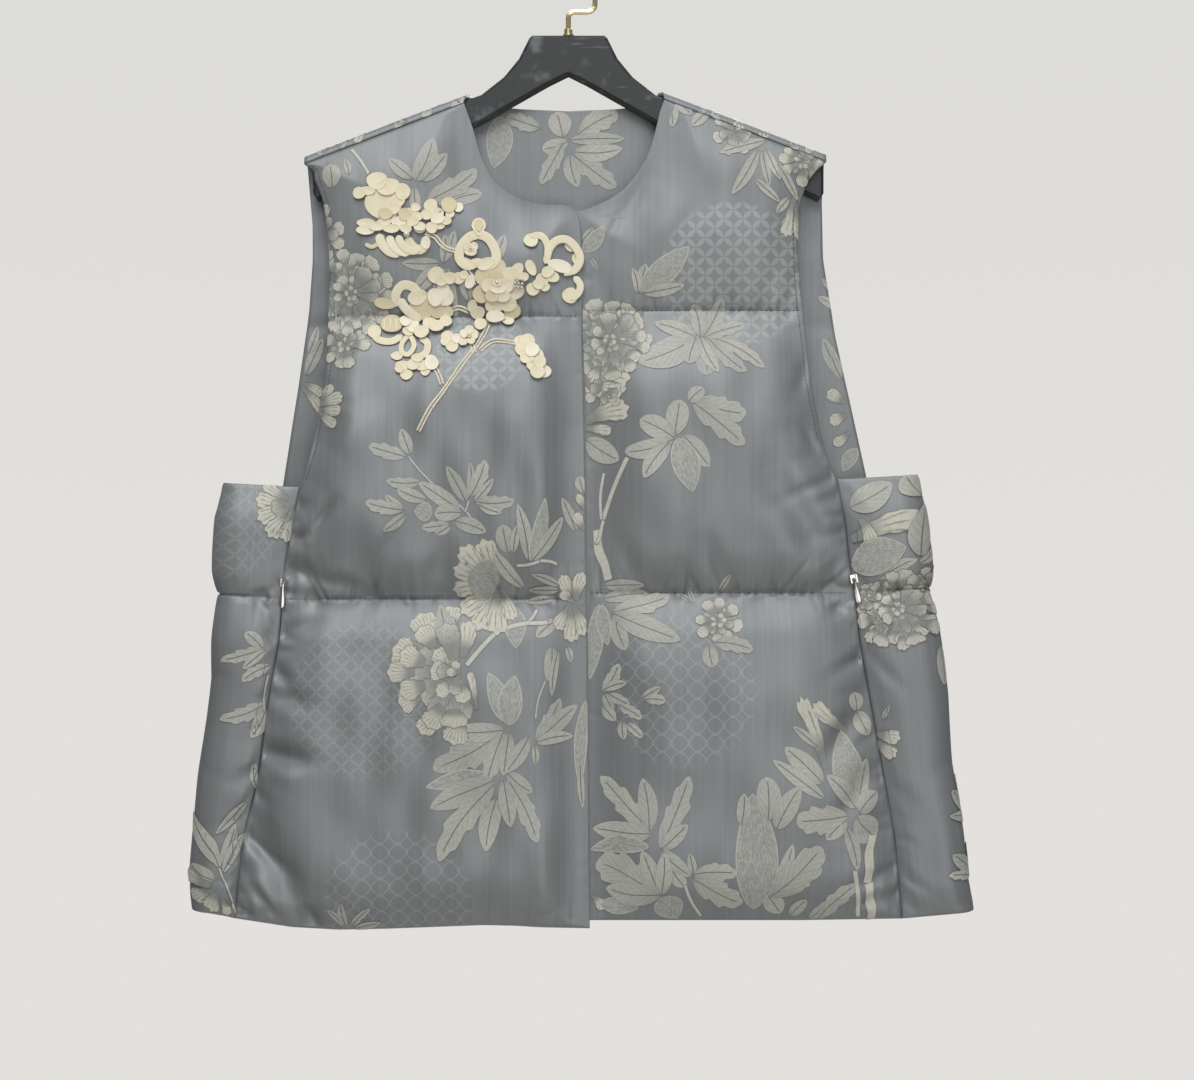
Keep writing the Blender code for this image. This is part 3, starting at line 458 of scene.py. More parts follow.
def unit_tangents(path: np.ndarray) -> np.ndarray:
    """Unit steps along a path of (x, z) rows."""
    tangent = np.gradient(path, axis=0)
    return tangent / np.hypot(tangent[:, 0], tangent[:, 1])[:, None]


def diagonal_normals(points: np.ndarray, quads: np.ndarray) -> np.ndarray:
    """Normals of quads: the cross products of their diagonals."""
    return np.cross(points[quads[:, 2]] - points[quads[:, 0]],
                    points[quads[:, 3]] - points[quads[:, 1]])


def held_rim(shape: tuple[int, ...]) -> np.ndarray:
    """Mask of the two outermost rows and columns of a grid."""
    held = np.ones(shape, bool)
    held[2:-2, 2:-2] = False
    return held


def new_piece(name: str, points: np.ndarray, faces: np.ndarray | list,
              material: bpy.types.Material, uv: np.ndarray | None = None,
              attributes: dict[str, np.ndarray] | None = None,
              smooth: bool = True) -> bpy.types.Object:
    """Make an object at the origin from points in millimetres.

    Args:
        name: the piece's name.
        points: (n, 3) places.
        faces: rows of point numbers.
        material: its finish.
        uv: (n, 2) flat coordinates for each point.
        attributes: extra values for each point.
        smooth: whether it is shaded smooth.

    Returns:
        The new object.
    """
    mesh = bpy.data.meshes.new(name)
    rows = faces.tolist() if isinstance(faces, np.ndarray) else faces
    mesh.from_pydata((np.asarray(points) * MM).tolist(), [], rows)
    if uv is not None:
        layer = mesh.uv_layers.new(name="cloth")
        corner = np.zeros(len(mesh.loops), np.int32)
        mesh.loops.foreach_get("vertex_index", corner)
        layer.uv.foreach_set("vector", np.asarray(uv, np.float32)[corner].ravel())
    for label, values in (attributes or {}).items():
        layer = mesh.attributes.new(label, "FLOAT", "POINT")
        layer.data.foreach_set("value", np.asarray(values, np.float32))
    mesh.materials.append(material)
    mesh.polygons.foreach_set("use_smooth", np.full(len(mesh.polygons), smooth))
    mesh.update()
    item = bpy.data.objects.new(name, mesh)
    bpy.context.scene.collection.objects.link(item)
    return item


def dress(piece: bpy.types.Object, slot: str, *nodes: str, body: str = ROOT_BODY) -> None:
    """Let a piece ride on a body and hide the solids it stands for."""
    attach(piece, body)
    if nodes:
        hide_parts(*nodes)
    LOG.info("made %s", piece.name)


# Finishes


def linear(colour: str) -> tuple[float, float, float, float]:
    """Turn an sRGB hex colour into linear RGBA."""
    parts = [int(colour[k:k + 2], 16) / 255 for k in (1, 3, 5)]
    return (*[p / 12.92 if p <= 0.04045 else ((p + 0.055) / 1.055) ** 2.4 for p in parts], 1.0)


def add_node(tree: bpy.types.NodeTree, kind: str, inputs: dict | None = None,
             **settings) -> bpy.types.Node:
    """Add a shader node.

    Args:
        tree: the node tree.
        kind: Blender's name for the node.
        inputs: sockets by name or number, each a value, a hex colour or a Signal to link.
        settings: the node's own properties.

    Returns:
        The node.
    """
    node = tree.nodes.new(kind)
    for label, value in settings.items():
        setattr(node, label, value)
    for label, value in (inputs or {}).items():
        if isinstance(value, Signal):
            tree.links.new(value.socket, node.inputs[label])
        else:
            node.inputs[label].default_value = linear(value) if isinstance(value, str) else value
    return node


@dataclass(frozen=True)
class Signal:
    """A value in a node tree; arithmetic on it adds Math nodes."""

    tree: bpy.types.NodeTree
    socket: bpy.types.NodeSocket

    def do(self, operation: str, *others: Signal | float) -> Signal:
        """Add a Math node of that operation on this value and the others."""
        node = add_node(self.tree, "ShaderNodeMath", dict(enumerate((self, *others))),
                        operation=operation)
        return Signal(self.tree, node.outputs[0])

    def __add__(self, other: Signal | float) -> Signal:
        """Sum."""
        return self.do("ADD", other)

    def __sub__(self, other: Signal | float) -> Signal:
        """Difference."""
        return self.do("SUBTRACT", other)

    def __mul__(self, other: Signal | float) -> Signal:
        """Product."""
        return self.do("MULTIPLY", other)

    def __truediv__(self, other: Signal | float) -> Signal:
        """Quotient."""
        return self.do("DIVIDE", other)

    def hypot(self, other: Signal) -> Signal:
        """Length of the two values at right angles."""
        return (self * self + other * other).do("SQRT")

    def most(self, other: Signal) -> Signal:
        """The larger of two values."""
        return self.do("MAXIMUM", other)

    def band(self, low: float, high: float) -> Signal:
        """Ramp from 0 at low to 1 at high, softly."""
        node = add_node(self.tree, "ShaderNodeMapRange",
                        {"Value": self, "From Min": low, "From Max": high},
                        interpolation_type="SMOOTHSTEP")
        return Signal(self.tree, node.outputs[0])

    def mix(self, first: Signal | str, second: Signal | str) -> Signal:
        """Mix two colours; this value is the second one's share."""
        node = add_node(self.tree, "ShaderNodeMix", {0: self, 6: first, 7: second},
                        data_type="RGBA")
        return Signal(self.tree, node.outputs[2])


@dataclass(frozen=True)
class Shader:
    """A node tree and its surface node, with short forms for what feeds them."""

    tree: bpy.types.NodeTree
    surface: bpy.types.Node

    def source(self, kind: str, output: int | str = 0, inputs: dict | None = None,
               **settings) -> Signal:
        """Add a node and give one of its outputs."""
        return Signal(self.tree, add_node(self.tree, kind, inputs, **settings).outputs[output])

    def attribute(self, label: str) -> Signal:
        """Value that the mesh keeps for each point."""
        return self.source("ShaderNodeAttribute", "Fac", attribute_name=label)

    def place(self) -> Signal:
        """Place in the object's own metres."""
        return self.source("ShaderNodeTexCoord", "Object")

    def flat(self) -> Signal:
        """Place on the flat cloth, in metres."""
        return self.source("ShaderNodeUVMap", uv_map="cloth")

    def split(self, place: Signal) -> list[Signal]:
        """The three parts of a place."""
        node = add_node(self.tree, "ShaderNodeSeparateXYZ", {0: place})
        return [Signal(self.tree, output) for output in node.outputs]

    def noise(self, place: Signal, scale: float, detail: float,
              stretch: tuple | None = None) -> Signal:
        """Noise at a place, which may first be stretched along its axes."""
        if stretch:
            place = self.source("ShaderNodeMapping", 0, {"Vector": place, "Scale": stretch})
        return self.source("ShaderNodeTexNoise", 0,
                           {"Vector": place, "Scale": scale, "Detail": detail})

    def link(self, **signals: Signal) -> None:
        """Link signals to the surface's sockets, named with underscores for spaces."""
        for label, signal in signals.items():
            self.tree.links.new(signal.socket, self.surface.inputs[label.replace("_", " ")])

    def bump(self, height: Signal, strength: float, distance: float) -> None:
        """Raise the surface's shading by a height."""
        self.link(Normal=self.source("ShaderNodeBump", 0, {
            "Height": height, "Strength": strength, "Distance": distance}))


def new_material(name: str, **constants: float | str) -> tuple[bpy.types.Material, Shader]:
    """Start a Principled material with constant values or hex colours on its sockets."""
    material = bpy.data.materials.new(name)
    material.use_nodes = True
    surface = material.node_tree.nodes["Principled BSDF"]
    for label, value in constants.items():
        surface.inputs[label.replace("_", " ")].default_value = (
            linear(value) if isinstance(value, str) else value)
    return material, Shader(material.node_tree, surface)


class Net(Enum):
    """Lattices that fill the woven discs."""

    LENS = "overlapping rings"
    OCTAGON = "octagons and stars"
    RING = "crossing rings"


@dataclass(frozen=True)
class Roundel:
    """A woven disc of lattice."""

    x: float
    z: float
    radius: float
    pitch: float
    net: Net


@dataclass(frozen=True)
class SatinCloth:
    """Silk satin: smooth floats that catch light, darker where they turn from it."""

    name: str = "silk_satin_jacquard"
    lattice: str = "#a3a7a6"
    roughness: float = 0.52
    slub_mm: float = 1.6
    lattice_line_m: tuple[float, float] = (0.0006, 0.0002)

    def build(self, label: str, roundels: list[Roundel]) -> bpy.types.Material:
        """Make the cloth for one panel with its own lattice discs.

        Args:
            label: the panel's name.
            roundels: the discs, in the panel's flat millimetres.

        Returns:
            The material, which reads the panel's own UV map in metres.
        """
        material, shader = new_material(
            f"{self.name}_{label}", Roughness=self.roughness, Metallic=0.33,
            Sheen_Weight=0.1, Sheen_Roughness=0.5, Sheen_Tint="#c6d2dc",
            Specular_IOR_Level=0.5, Specular_Tint="#dce3ea")
        flat, thread = shader.flat(), 600.0 / self.slub_mm
        slub = shader.noise(flat, 1.0, 2.0, (thread, thread / 40, 1.0))
        weft = shader.noise(flat, 1.0, 1.0, (thread / 25, thread, 1.0))
        blotch = shader.noise(flat, 9.0, 2.0)
        ground = (slub * 0.5 + blotch * 0.5).band(0.3, 0.7).mix("#7b7e80", "#858889")
        lines = self.lattice_lines(shader, flat, roundels)
        shader.bump(slub * 0.6 + weft * 0.4, 0.05, 0.0003)
        shader.link(Base_Color=lines.mix(ground, self.lattice),
                    Roughness=lines * 0.12 + self.roughness)
        return material

    def lattice_lines(self, shader: Shader, flat: Signal, roundels: list[Roundel]) -> Signal:
        """Share of the paler float in every lattice disc."""
        nets = {Net.LENS: self.lenses, Net.OCTAGON: self.octagons, Net.RING: self.rings}
        right, up, _ = shader.split(flat)
        total = right * 0.0
        for disc in roundels:
            x, z = right - disc.x * MM, up - disc.z * MM
            inside = x.hypot(z).band(disc.radius * MM * 1.03, disc.radius * MM * 0.92)
            total = total.most(nets[disc.net](x, z, disc.pitch * MM) * inside)
        return total

    def lenses(self, right: Signal, up: Signal, pitch: float) -> Signal:
        """Overlaps of rings on a diagonal net: within p / sqrt 2 of the next centre too."""
        diagonal = math.sqrt(0.5)
        net = pitch * diagonal
        ways = [(way * diagonal).do("PINGPONG", net / 2) for way in (right + up, right - up)]
        masks = [(one - net).hypot(other).band(net * 0.70, net * 0.67)
                 for one, other in (ways, ways[::-1])]
        return masks[0].most(masks[1]) * 0.55

    def octagons(self, right: Signal, up: Signal, pitch: float) -> Signal:
        """Thin outlines of octagons, side by side, with small stars between their corners."""
        one, other = (way.do("PINGPONG", pitch / 2) for way in (right, up))
        wide = one.most(other).most((one + other) * 0.76)
        return (wide - pitch * 0.455).do("ABSOLUTE").band(*self.lattice_line_m) * 0.5

    def rings(self, right: Signal, up: Signal, pitch: float) -> Signal:
        """Thin rings about the corners and the middles of a square net, just crossing."""
        one, other = (way.do("PINGPONG", pitch / 2) for way in (right, up))
        lines = [((one - shift).hypot(other - shift) - pitch * 0.40).do("ABSOLUTE")
                 .band(*self.lattice_line_m) for shift in (0.0, pitch / 2)]
        return lines[0].most(lines[1]) * 0.36


@dataclass(frozen=True)
class WornPlastic:
    """Injection-moulded black plastic, rubbed grey in patches and scuffed by other hangers."""

    name: str = "moulded_plastic_worn"

    def build(self) -> bpy.types.Material:
        """Make the hanger's finish."""
        material, shader = new_material(self.name, Roughness=0.5, Specular_IOR_Level=0.4)
        place = shader.place()
        dust = shader.noise(place, 60.0, 6.0)
        scratch = shader.noise(place, 1.0, 3.0, (40.0, 300.0, 400.0))
        worn = (dust.band(0.52, 0.75) * 0.6).most(scratch.band(0.62, 0.75) * 0.5)
        shader.bump(dust, 0.08, 0.0005)
        shader.link(Base_Color=worn.mix("#2b2e30", "#777c7e"), Roughness=worn * 0.25 + 0.42)
        return material


@dataclass(frozen=True)
class PolishedMetal:
    """Plated metal with faint handling marks."""

    name: str
    colour: str
    roughness: float

    def build(self) -> bpy.types.Material:
        """Make the metal."""
        material, shader = new_material(self.name, Base_Color=self.colour, Metallic=1.0)
        marks = shader.noise(shader.place(), 350.0, 3.0)
        shader.link(Roughness=marks * 0.15 + (self.roughness - 0.07))
        return material


# Panels


class Pile:
    """Shapes gathered for one piece: points, faces and values for each point."""

    def __init__(self) -> None:
        """Start empty."""
        self.points, self.faces, self.count = [], [], 0
        self.marks: dict[str, list] = {}

    def add(self, points: np.ndarray, faces: list | np.ndarray, **marks) -> None:
        """Join a shape whose faces count from 0; a mark is a value, or one for each point."""
        self.points.append(points)
        self.faces += [[corner + self.count for corner in face] for face in faces]
        self.count += len(points)
        for label, value in marks.items():
            self.marks.setdefault(label, []).append(np.broadcast_to(value, len(points)))

    def piece(self, name: str, material: bpy.types.Material,
              smooth: bool = False) -> bpy.types.Object:
        """Make one object of all the shapes."""
        marks = {label: np.concatenate(values) for label, values in self.marks.items()}
        return new_piece(name, np.concatenate(self.points), self.faces, material, None, marks,
                         smooth)


def gather(face: np.ndarray, inner: np.ndarray, held: np.ndarray, grow: float,
           pressure: float, cap: np.ndarray, frames: int = 20) -> np.ndarray:
    """Let Blender's cloth swell a face that is cut too large for the seams that hold it.

    The sheet's rest lengths grow by a share, air pressure lifts it, each point's step is evened
    with its neighbours', and it then nears the cap without passing it: cap tanh(step / cap).

    Args:
        face: (rows, columns, 3) face in millimetres.
        inner: the face behind it, which tells the way out.
        held: which points its seams hold.
        grow: share of spare cloth.
        pressure: uniform pressure.
        cap: most that a point may move.
        frames: steps of the simulation.

    Returns:
        The swollen face.
    """
    quads = grid_faces(*face.shape[:2])
    normal = np.cross(face[0, 1] - face[0, 0], face[1, 0] - face[0, 0])
    if normal @ (face - inner).mean((0, 1)) < 0.0:
        quads = quads[:, ::-1]
    mesh = bpy.data.meshes.new("swelling")
    mesh.from_pydata((face.reshape(-1, 3) * SIM_SCALE).tolist(), [], quads.tolist())
    item = bpy.data.objects.new("swelling", mesh)
    scene = bpy.context.scene
    scene.collection.objects.link(item)
    group = item.vertex_groups.new(name="held")
    group.add(np.flatnonzero(held.ravel()).tolist(), 1.0, "REPLACE")
    cloth = item.modifiers.new("cloth", "CLOTH")
    for label, value in CLOTH_SETTINGS.items():
        setattr(cloth.settings, label, value)
    cloth.settings.shrink_min = -grow
    cloth.settings.uniform_pressure_force = pressure
    cloth.settings.effector_weights.gravity = 0.0
    cloth.collision_settings.use_collision = False
    cloth.point_cache.frame_end = frames
    for frame in range(1, frames + 1):
        scene.frame_set(frame)
    settled = item.evaluated_get(bpy.context.evaluated_depsgraph_get()).data
    place = np.zeros(len(settled.vertices) * 3, np.float32)
    settled.vertices.foreach_get("co", place)
    step = place.reshape(face.shape) / SIM_SCALE - face
    bpy.data.objects.remove(item)
    bpy.data.meshes.remove(mesh)
    scene.frame_set(1)
    for _ in range(3):
        wide = np.pad(step, ((1, 1), (1, 1), (0, 0)), "edge")
        step = (wide[:-2, 1:-1] + wide[2:, 1:-1] + wide[1:-1, :-2] + wide[1:-1, 2:] + 4 * step) / 8
    size = np.linalg.norm(step, axis=2, keepdims=True)
    LOG.info("cloth swelled by up to %.1f mm", float(size.max()))
    part = np.maximum(size / cap[..., None], 1e-6)
    return face + step * np.tanh(part) / part


@dataclass
class ClothPanel:
    """A padded panel: an outer face over a plain inner one, closed round its rim."""

    name: str
    node: str
    fill: float = 0.5

    def keep(self, inner: np.ndarray, outer: np.ndarray) -> None:
        """Remember both faces and their ways out: the cross product of their grid steps."""
        self.faces = {}
        for label, face, way in (("outer", outer, outer - inner), ("inner", inner, inner - outer)):
            normal = np.cross(np.gradient(face, axis=0), np.gradient(face, axis=1))
            size = np.linalg.norm(normal, axis=2, keepdims=True)
            sign = np.sign(np.sum(normal * way))
            self.faces[label] = (face, sign * normal / np.maximum(size, 1e-9))

    def sample(self, row: np.ndarray, column: np.ndarray, lift: np.ndarray | float,
               label: str = "outer") -> np.ndarray:
        """Point of a face at fractional rows and columns, moved out by lift.

        Args:
            row, column: places in the grid; between its points the face is bilinear.
            lift: distance along the normal.
            label: outer or inner.

        Returns:
            Points with a last axis of 3.
        """
        face, normal = self.faces[label]
        row = np.clip(row, 0.0, face.shape[0] - 1.001)
        column = np.clip(column, 0.0, face.shape[1] - 1.001)
        r, c = row.astype(int), column.astype(int)
        down, over = (row - r)[..., None], (column - c)[..., None]
        point, way = (
            (grid[r, c] * (1 - down) + grid[r + 1, c] * down) * (1 - over)
            + (grid[r, c + 1] * (1 - down) + grid[r + 1, c + 1] * down) * over
            for grid in (face, normal))
        return point + way * np.asarray(lift)[..., None]

    def shell(self, inner: np.ndarray, outer: np.ndarray, flat: np.ndarray,
              material: bpy.types.Material) -> bpy.types.Object:
        """Close the two grids of points into one wall and dress it.

        Args:
            inner: (rows, columns, 3) inner face.
            outer: (rows, columns, 3) outer face.
            flat: (rows, columns, 2) flat coordinates of the cloth in millimetres.
            material: the cloth.

        Returns:
            The panel, which stands for its solid.
        """
        self.keep(inner, outer)
        faces = wall_faces(*inner.shape[:2])
        points = np.concatenate([inner.reshape(-1, 3), outer.reshape(-1, 3)])
        out = points[faces].mean(1) - points.mean(0)
        if np.einsum("ij,ij->", out, diagonal_normals(points, faces)) < 0.0:
            faces = faces[:, ::-1]
        piece = new_piece(self.name, points, faces, material,
                          np.tile(flat.reshape(-1, 2) * MM, (2, 1)))
        dress(piece, "silk", self.node)
        return piece


@dataclass
class FrontPanel(ClothPanel):
    """One front: ruled rows from armhole to neckline, a pillow between quilt lines."""

    side: Side = Side.LEFT
    rows: list[Row] = field(default_factory=list)
    hem: list[Edge] = field(default_factory=list)
    chest: float = LEFT_CHEST
    waist: float = LEFT_WAIST
    folds: list[Fold] = field(default_factory=list)
    seed: int = 1
    columns: int = 100
    hidden_columns: int = 12
    rows_per_mm: float = 0.34

    def __post_init__(self) -> None:
        """Work out the outline, the creases and the grid."""
        table = np.array(self.rows)
        steps = np.diff(table, axis=0)
        lengths = np.hypot(steps[:, 0], steps[:, 1]) + np.hypot(steps[:, 2], steps[:, 3])
        known = np.concatenate([[0.0], np.cumsum(lengths / 2)])
        quilts = [known[np.argmin(np.abs(table[:, 1] - line))] for line in (self.chest, self.waist)]
        levels, wanted = [0.0, *quilts, known[-1]], [np.zeros(1)]
        for low, high in zip(levels, levels[1:]):
            wanted.append(low + (high - low) * eased(int((high - low) * self.rows_per_mm), 0.45)[1:])
        place = np.interp(np.concatenate(wanted), known, np.arange(len(known)))
        self.ruled = ruled = smooth_curve(table, place)
        outer_x, outer_z, inner_x, inner_z = (ruled[:, k:k + 1] for k in range(4))
        self.across, self.shown = eased(self.columns, 0.4), np.ones(len(ruled))
        across = self.across[None, :]
        if self.side is Side.RIGHT:
            seen = self.centre_x(inner_z) + LAP_SHOWS
            share = np.minimum((seen - outer_x) / (inner_x - outer_x), 0.93)
            hidden = np.linspace(0.0, 1.0, self.hidden_columns + 1)[1:]
            self.across = eased(self.columns - self.hidden_columns, 0.4)
            self.shown = share[:, 0]
            across = np.hstack([share * self.across, share + (1.0 - share) * hidden])
        self.x = outer_x + (inner_x - outer_x) * across
        self.z = outer_z + (inner_z - outer_z) * across
        straight = self.z[-1].copy()
        below = np.clip((self.waist - self.z) / (self.waist - straight[None, :]), 0.0, 1.0)
        self.z = self.z + (edge_z(self.hem, self.x[-1]) - straight)[None, :] * below
        low = sorted(self.hem, reverse=self.side is Side.RIGHT)[1:-1]
        self.outline = ([(r[0], r[1]) for r in ruled[::2]] + [(p.x, p.z) for p in low]
                        + self.inner_edge(2, LAP_SHOWS)[::-1])
        self.creases = self.stitched_creases()

    @staticmethod
    def centre_x(z: np.ndarray) -> np.ndarray:
        """Centre-front edge of the left front at height z."""
        return edge_x([Edge(row.inner_x, row.inner_z) for row in LEFT_ROWS[7:]], z)

    def inner_edge(self, every: int, shows: float) -> list[tuple[float, float]]:
        """Neckline and centre-front edge as far as they are seen, from every so many rows."""
        edge = [(r[2], r[3]) for r in self.ruled[::every]]
        if self.side is Side.RIGHT:
            edge = [(max(x, float(self.centre_x(z)) + shows), z) for x, z in edge]
        return edge

    def stitched_creases(self) -> list[Fold]:
        """Creases along the quilt lines, the seams and the hem."""
        seam, seed = [Edge(r.outer_x, r.outer_z) for r in self.rows[7:]], self.seed
        lines = []
        for k, (height, long_up, long_down, share) in enumerate((
                (self.chest, 14.0, 8.0, 0.5), (self.waist, 24.0, 14.0, 1.0))):
            span = (float(edge_x(seam, height)), height, CENTRE_X, height)
            lines += [PuckerLine(*span, 0, 1, 9.0, long_up, 1.9 * share, 1.9, seed + k),
                      PuckerLine(*span, 0, 1, 33.0, 58.0, 3.2 * share, 8.0, seed + 3 + k),
                      PuckerLine(*span, 0, -1, 13.0, long_down, 0.7, 2.0, seed + 5 + k),
                      PuckerLine(*span, 0, -1, 46.0, 50.0, 1.6 * share, 9.0, seed + 8 + k)]
        for part, *shape, first in ((seam[6:], -0.25, 13.0, 17.0, 1.8, 2.6, 20),
                                    (seam[6:], -0.15, 31.0, 44.0, 3.6, 5.5, 30),
                                    (seam[:7], -0.2, 21.0, 15.0, 0.7, 2.4, 40)):
            lines += [PuckerLine(*top, *low, -self.side.sign, *shape, seed + first + k)
                      for k, (top, low) in enumerate(zip(part, part[1:]))]
        lines.append(PuckerLine(CENTRE_X, -200.0, CENTRE_X + 4.0, -715.0, self.side.sign, 0.1,
                                26.0, 13.0, 0.6, 2.6, seed + 60))
        low = self.hem[0].z + 1.0
        lines.append(PuckerLine(self.hem[0].x, low, self.hem[-1].x, low, 0, 1, 19.0, 16.0, 0.9,
                                2.4, seed + 61))
        return all_creases(lines)

    def inner_y(self, x: np.ndarray, z: np.ndarray) -> np.ndarray:
        """Depth of the inner face; the left front stands out over the lap."""
        if self.side is Side.RIGHT:
            return front_plane(z)
        return front_plane(z) - LAP_LIFT * smooth_step((x + LAP_WIDTH + LAP_EASE - 10.0) / LAP_EASE)

    def wall(self, x: np.ndarray, z: np.ndarray) -> np.ndarray:
        """Thickness: puff times its rise from every seam and quilt line, less the creases."""
        edge = outline_distance(x, z, self.outline)
        if self.side is Side.RIGHT:
            edge = np.where(x < self.centre_x(z) + LAP_SHOWS, 0.0, edge)
        flat_edge = smooth_step(self.from_opening(x, z) / 46.0)
        puff = (quilted(z, self.chest, self.waist, 0.8, 0.3)
                * np.minimum(rise(edge, 1.3 * SEAM_REACH), flat_edge))
        share = puff / BODY_PUFF
        puff = puff + 2.4 * share * soft_cloud(x, z * 0.7, self.seed + 90, 105.0)
        puff = puff + 1.7 * share * soft_cloud(x * 1.2, z * 0.6, self.seed + 91, 48.0)
        return EDGE_WALL + np.maximum(puff * zip_dimple(x, z), -0.6)

    def from_opening(self, x: np.ndarray, z: np.ndarray) -> np.ndarray:
        """Distance from the neckline and the centre-front edge, which lie flat."""
        return path_distance(x, z, self.inner_edge(3, 0.0))

    def freedom(self) -> np.ndarray:
        """Most that each point may swell: less in the yoke and near centre front and neckline."""
        low = smooth_step((self.chest - self.z) / 60.0)
        near = (smooth_step(self.from_opening(self.x, self.z) / 60.0)
                * smooth_step(outline_distance(self.x, self.z, self.outline) / 30.0))
        for line in (self.chest, self.waist):
            near = near * smooth_step(np.abs(self.z - line) / 34.0)
        return (1.6 + 6.0 * low) * near + 0.02

    def lay(self, x: np.ndarray, z: np.ndarray,
            lift: np.ndarray | float) -> tuple[np.ndarray, np.ndarray]:
        """Points on the outer face under flat places, found by halving the rows.

        Args:
            x, z: flat places.
            lift: how far out of the cloth.

        Returns:
            The points, and whether each place is on the panel.
        """
        table, index = self.ruled, np.arange(len(self.ruled))
        last = table[-1]
        straight = last[1] + (last[3] - last[1]) * (x - last[0]) / (last[2] - last[0])
        level = z - (edge_z(self.hem, x) - straight) * np.clip(
            (self.waist - z) / (self.waist - straight), 0.0, 1.0)
        low, high = np.zeros(x.shape), np.full(x.shape, len(table) - 1.0)
        for _ in range(20):
            row = (low + high) / 2
            edge = [np.interp(row, index, table[:, k]) for k in range(4)]
            share = (x - edge[0]) / (edge[2] - edge[0])
            line = edge[1] + (edge[3] - edge[1]) * np.clip(share, 0.0, 1.0)
            low, high = np.where(line > level, row, low), np.where(line > level, high, row)
        shown = np.interp(row, index, self.shown)
        column = np.interp(share / shown, self.across, np.arange(len(self.across)))
        inside = (share > 0) & (share < shown) & (np.abs(line - level) < 0.6)
        return self.sample(row * self.fine[0], column * self.fine[1], lift), inside

    def build(self, cloth: SatinCloth, roundels: list[Roundel]) -> bpy.types.Object:
        """Make the panel's padded wall."""
        inner = np.stack([self.x, self.inner_y(self.x, self.z), self.z], 2)
        outer = np.stack([self.x, inner[..., 1] - self.wall(self.x, self.z), self.z], 2)
        held = held_rim(self.x.shape)
        for line in (self.chest, self.waist):
            held |= np.abs(self.z - line) < 0.9
        if self.side is Side.RIGHT:
            held[:, -self.hidden_columns - 2:] = True
        outer = finer(gather(outer, inner, held, 0.05, 2.5, self.freedom()))
        inner, flat = finer(inner), finer(np.stack([self.x, self.z], 2))
        self.fine = [(now - 1) / (was - 1) for now, was in zip(outer.shape, self.x.shape)]
        x, z = flat[..., 0], flat[..., 1]
        edge = np.clip(outline_distance(x, z, self.outline) / 3.0, 0.0, 1.0)
        relief = crease_relief(x, z, self.creases) + fold_relief(x, z, self.folds)
        outer[..., 1] = np.minimum(outer[..., 1] + relief * edge, inner[..., 1] - 1.2)
        return self.shell(inner, outer, flat, cloth.build(self.side.value, roundels))

    def side_seam(self) -> list[Edge]:
        """Side seam points from the underarm down to the hem."""
        return [Edge(r.outer_x, r.outer_z) for r in self.rows if r.outer_z < -385.0]


